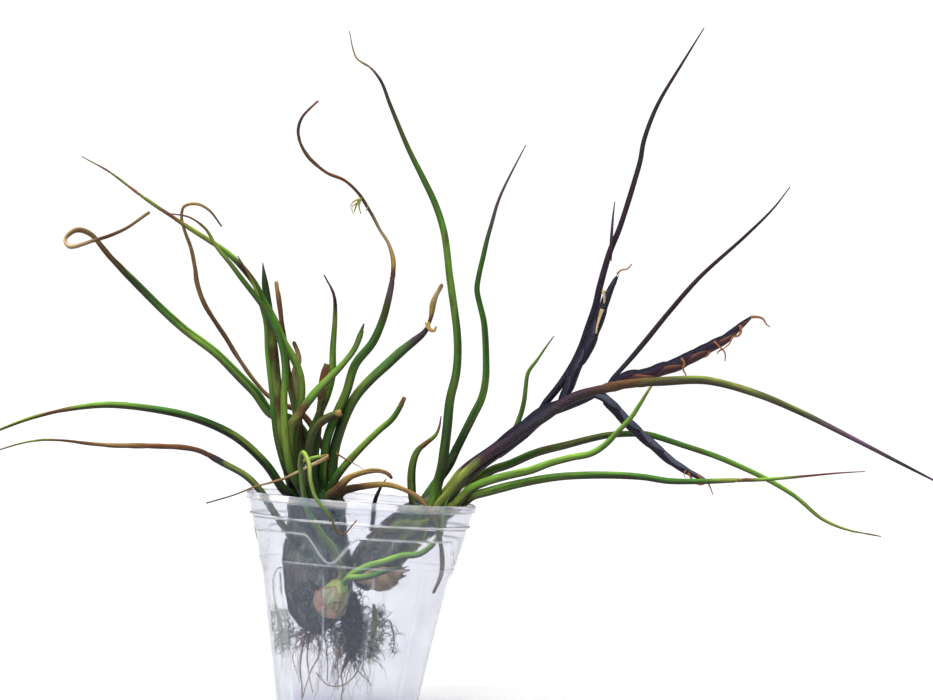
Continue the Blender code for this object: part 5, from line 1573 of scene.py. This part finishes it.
def add_root_mass():
    """The dark root mass, the fine roots on it, and those that hang from the left bulb's foot."""
    roots = bpy.context.scene.bulbosa_roots
    random = Random(roots.seed)
    surface = Surface()
    add_bulb_body(surface, ROOT_MASS_TOP, ROOT_MASS, [(0, "soil"), (0.5, "char"), (1, "soil")], 11.0, 1.3, 32)
    foot = ROOT_MASS[-1][0]

    def middle_at(share):
        return ROOT_MASS_TOP.middle - ROOT_MASS_TOP.facing * (foot * share)

    def width_at(share):
        return outline_width(ROOT_MASS, foot * share)

    def foot_at(share):
        return Vector((-28 + 19 * share, 1.5, -49.5 - 4.5 * sin(pi * share)))

    count = roots.mass_roots
    add_strands(surface, random, count, MASS_ROOTS, middle_at, width_at)
    add_strands(surface, random, count // 5, LOW_ROOTS, lambda share: middle_at(0.6 + 0.4 * share),
                lambda share: width_at(0.6 + 0.4 * share))
    add_strands(surface, random, count // 2, FOOT_ROOTS, foot_at, lambda share: 4.0)
    add_strands(surface, random, count // 9, LONG_FOOT_ROOTS, foot_at, lambda share: 3.0)
    surface.piece("root_mass", "grown", "root")


def add_hanging_root(root):
    """One single root, thin and slightly kinked."""
    surface = Surface()
    line = line_along(root.route, 0.9)
    shares = shares_along(line)
    radii = [read_along(root.half_widths, share) * 0.75 for share in shares]
    tints = [tint_along([(0, "bark"), (0.4, "thread"), (1, "tan")], share) for share in shares]
    add_tube(surface, line, radii, tints, 8, wrinkles=0.35, seed=len(root.name) * 0.7)
    surface.piece(root.name, "grown", "root")


def leaf_piece(leaf, neck):
    """One leaf and its threads, as a piece."""
    surface = Surface()
    add_leaf(surface, leaf, neck)
    add_threads(surface, leaf.name)
    surface.piece(leaf.name, "grown", leaf.slot)


class BULBOSA_OT_cup(bpy.types.Operator):
    """Add the clear cup"""

    bl_idname = "bulbosa.cup"
    bl_label = "Clear Cup"

    def execute(self, context):
        add_cup()
        return {"FINISHED"}


class BULBOSA_OT_bulbs(bpy.types.Operator):
    """Add the two grown bulbs with their sheaths"""

    bl_idname = "bulbosa.bulbs"
    bl_label = "Bulbs"

    def execute(self, context):
        # Painted shade: the left bulb is deep green at its neck among the leaves, and it darkens to plum and
        # char at its foot, partly its own colour and partly painted shade
        stops = [(0, "deep"), (0.2, "slate"), (0.55, "bark"), (0.8, "plum"), (1, "char")]
        add_bulb("left_bulb", "bulb_skin", LEFT_NECK, LEFT_BULB, LEFT_SHEATHS, stops, 2.0)
        stops = [(0, "olive"), (0.2, "slate"), (0.6, "slate"), (1, "bark")]
        add_bulb("right_bulb", "bulb_skin", RIGHT_NECK, RIGHT_BULB, RIGHT_SHEATHS, stops, 7.0)
        return {"FINISHED"}


class BULBOSA_OT_left_leaves(bpy.types.Operator):
    """Add the left plant's leaves"""

    bl_idname = "bulbosa.left_leaves"
    bl_label = "Left Plant's Leaves"

    def execute(self, context):
        for leaf in LEFT_LEAVES:
            leaf_piece(leaf, LEFT_NECK)
        return {"FINISHED"}


class BULBOSA_OT_right_leaves(bpy.types.Operator):
    """Add the right plant's leaves"""

    bl_idname = "bulbosa.right_leaves"
    bl_label = "Right Plant's Leaves"

    def execute(self, context):
        for leaf in RIGHT_LEAVES:
            leaf_piece(leaf, RIGHT_NECK)
        return {"FINISHED"}


class BULBOSA_OT_offset(bpy.types.Operator):
    """Add the small offset's bulb and leaves"""

    bl_idname = "bulbosa.offset"
    bl_label = "Offset"

    def execute(self, context):
        stops = [(0, "bright"), (0.5, "pale"), (1, "peach")]
        add_bulb("pup_bulb", "pale_leaf", PUP_NECK, PUP_BULB, PUP_SHEATHS, stops, 4.0, 0.2)
        for leaf in PUP_LEAVES:
            leaf_piece(leaf, PUP_NECK)
        return {"FINISHED"}


class BULBOSA_OT_flowering(bpy.types.Operator):
    """Add the flowering stem, its long bract leaves and the three flower spikes"""

    bl_idname = "bulbosa.flowering"
    bl_label = "Flowering Stem"

    def execute(self, context):
        surface = Surface()
        add_stem(surface, FLOWERING_STEM)
        surface.piece(FLOWERING_STEM.name, "grown", FLOWERING_STEM.slot)
        for leaf in OTHER_LEAVES:
            leaf_piece(leaf, None)
        for spike in FLOWER_SPIKES:
            surface = Surface()
            add_spike(surface, spike)
            surface.piece(spike.name, "grown", spike.slot)
        return {"FINISHED"}


class BULBOSA_OT_roots(bpy.types.Operator):
    """Add the root mass, the single roots and the moss"""

    bl_idname = "bulbosa.roots"
    bl_label = "Roots and Moss"

    def execute(self, context):
        roots = context.scene.bulbosa_roots
        strands = roots.moss_strands
        add_root_mass()
        for k, (leaf, (divisor, spread, kind)) in enumerate(zip(ROOTS, CLUMPS)):
            moss_clump(leaf, strands // divisor, spread, kind, roots.seed + 1 + k)
        for root in ROOTS[len(CLUMPS):]:
            add_hanging_root(root)
        return {"FINISHED"}


class BULBOSA_OT_dry_sheath(bpy.types.Operator):
    """Add the torn dry sheath at the right bulb's foot"""

    bl_idname = "bulbosa.dry_sheath"
    bl_label = "Torn Sheath"

    def execute(self, context):
        add_dry_flap()
        return {"FINISHED"}


# The stage: half the floor's length, how bright the surround looks, and the suns' angles in degrees,
# as (how wide the sun is, tilt, swing)
FLOOR_REACH = 12.0
FLOOR_DROP = 0.0002
SEEN_SURROUND = 1.05
KEY_ANGLES = (50, 36, -22)
GLINT_ANGLES = (5, 58, -10)
SENSOR_WIDTH = 36
SIGHT_LIMIT = 100


def paper_material():
    """The floor's plain matt white, with a faint unevenness."""
    made = bpy.data.materials.new("pale_floor")
    made.use_nodes = True
    wiring = Wiring(made.node_tree)
    shader = made.node_tree.nodes["Principled BSDF"]
    colour = bpy.context.scene.bulbosa_stage.floor
    place = wiring.node("ShaderNodeTexCoord").outputs["Object"]
    grain = wiring.grain(place, (1, 1, 1), 30.0, 3.0)
    darker = tuple(0.985 * part for part in colour)
    wiring.feed(shader.inputs["Base Color"], wiring.mix(grain, (*colour, 1), (*darker, 1)))
    shader.inputs["Roughness"].default_value = 0.9
    shader.inputs["Specular IOR Level"].default_value = 0.1
    return made


def add_floor():
    """The pale floor under the cup."""
    mesh = bpy.data.meshes.new("stage_floor")
    near, far = -FLOOR_REACH, FLOOR_REACH
    mesh.from_pydata([(near, near, 0), (far, near, 0), (far, far, 0), (near, far, 0)], [], [(0, 1, 2, 3)])
    mesh.materials.append(paper_material())
    floor = bpy.data.objects.new("stage_floor", mesh)
    floor.location.z = -FLOOR_DROP
    bpy.context.scene.collection.objects.link(floor)


def add_surround(light):
    """A white surround that gives this much light. How bright the camera sees it is set apart from that."""
    world = bpy.data.worlds.new("stage_surround")
    world.use_nodes = True
    wiring = Wiring(world.node_tree)
    background = world.node_tree.nodes["Background"]
    background.inputs["Color"].default_value = (1, 1, 1, 1)
    seen = wiring.node("ShaderNodeLightPath").outputs["Is Camera Ray"]
    strength = wiring.maths("MULTIPLY_ADD", seen, SEEN_SURROUND - light, light)
    wiring.feed(background.inputs["Strength"], strength)
    bpy.context.scene.world = world


def add_sun(name, strength, angles):
    """A sun of this strength. Its angles are in degrees."""
    sun = bpy.data.lights.new(name, "SUN")
    sun.energy = strength
    width, tilt, swing = (radians(angle) for angle in angles)
    sun.angle = width
    lamp = bpy.data.objects.new(name, sun)
    lamp.rotation_euler = (tilt, swing, 0)
    bpy.context.scene.collection.objects.link(lamp)


def add_camera(focal_length):
    """The camera that looks as the photo does."""
    scene = bpy.context.scene
    camera = bpy.data.cameras.new("stage_camera")
    camera.lens = focal_length
    camera.sensor_width = SENSOR_WIDTH
    camera.clip_end = SIGHT_LIMIT
    eye = bpy.data.objects.new("stage_camera", camera)
    across, up = PICTURE_CENTRE
    place = LEANING @ Vector((across, 0, up)) - Vector((0, VIEW_DISTANCE, 0))
    turn = Matrix.Rotation(PLANT_LEAN, 4, "Y") @ Matrix.Rotation(radians(90), 4, "X")
    eye.matrix_world = Matrix.Translation(place * MM) @ turn
    scene.collection.objects.link(eye)
    scene.camera = eye


class BULBOSA_OT_stage(bpy.types.Operator):
    """Add the floor, the soft light and the camera"""

    bl_idname = "bulbosa.stage"
    bl_label = "Stage"

    def execute(self, context):
        look = context.scene.bulbosa_stage
        add_floor()
        add_surround(look.surround)
        add_sun("stage_key", look.key, KEY_ANGLES)
        add_sun("stage_glint", look.glint, GLINT_ANGLES)
        add_camera(look.focal_length)
        context.scene.view_settings.view_transform = "Standard"
        context.scene.view_settings.look = "None"
        return {"FINISHED"}


OPERATORS = [
    BULBOSA_OT_cup, BULBOSA_OT_bulbs, BULBOSA_OT_left_leaves, BULBOSA_OT_right_leaves, BULBOSA_OT_offset,
    BULBOSA_OT_flowering, BULBOSA_OT_roots, BULBOSA_OT_dry_sheath, BULBOSA_OT_stage]


class BULBOSA_PT_panel(bpy.types.Panel):
    """The pieces of the air plant, and what can be changed on them"""

    bl_label = "Air Plant"
    bl_idname = "BULBOSA_PT_panel"
    bl_space_type = "VIEW_3D"
    bl_region_type = "UI"
    bl_category = "Air Plant"

    def draw(self, context):
        column = self.layout.column(align=True)
        for operator in OPERATORS:
            column.operator(operator.bl_idname)
        for name, group in GROUPS.items():
            box = self.layout.box()
            box.label(text=group.bl_rna.description)
            for prop in group.__annotations__:
                box.prop(getattr(context.scene, name), prop)


CLASSES = [*GROUPS.values(), *OPERATORS, BULBOSA_PT_panel]


def register():
    """Add the operators, the panel and the values that can be changed."""
    for made in CLASSES:
        bpy.utils.register_class(made)
    for name, group in GROUPS.items():
        setattr(bpy.types.Scene, name, bpy.props.PointerProperty(type=group))


def unregister():
    """Take them away again."""
    for name in GROUPS:
        delattr(bpy.types.Scene, name)
    for made in reversed(CLASSES):
        bpy.utils.unregister_class(made)


def main():
    """Build the pieces and the stage."""
    register()
    for operator in OPERATORS:
        area, name = operator.bl_idname.split(".")
        getattr(getattr(bpy.ops, area), name)()


if __name__ == "__main__":
    main()
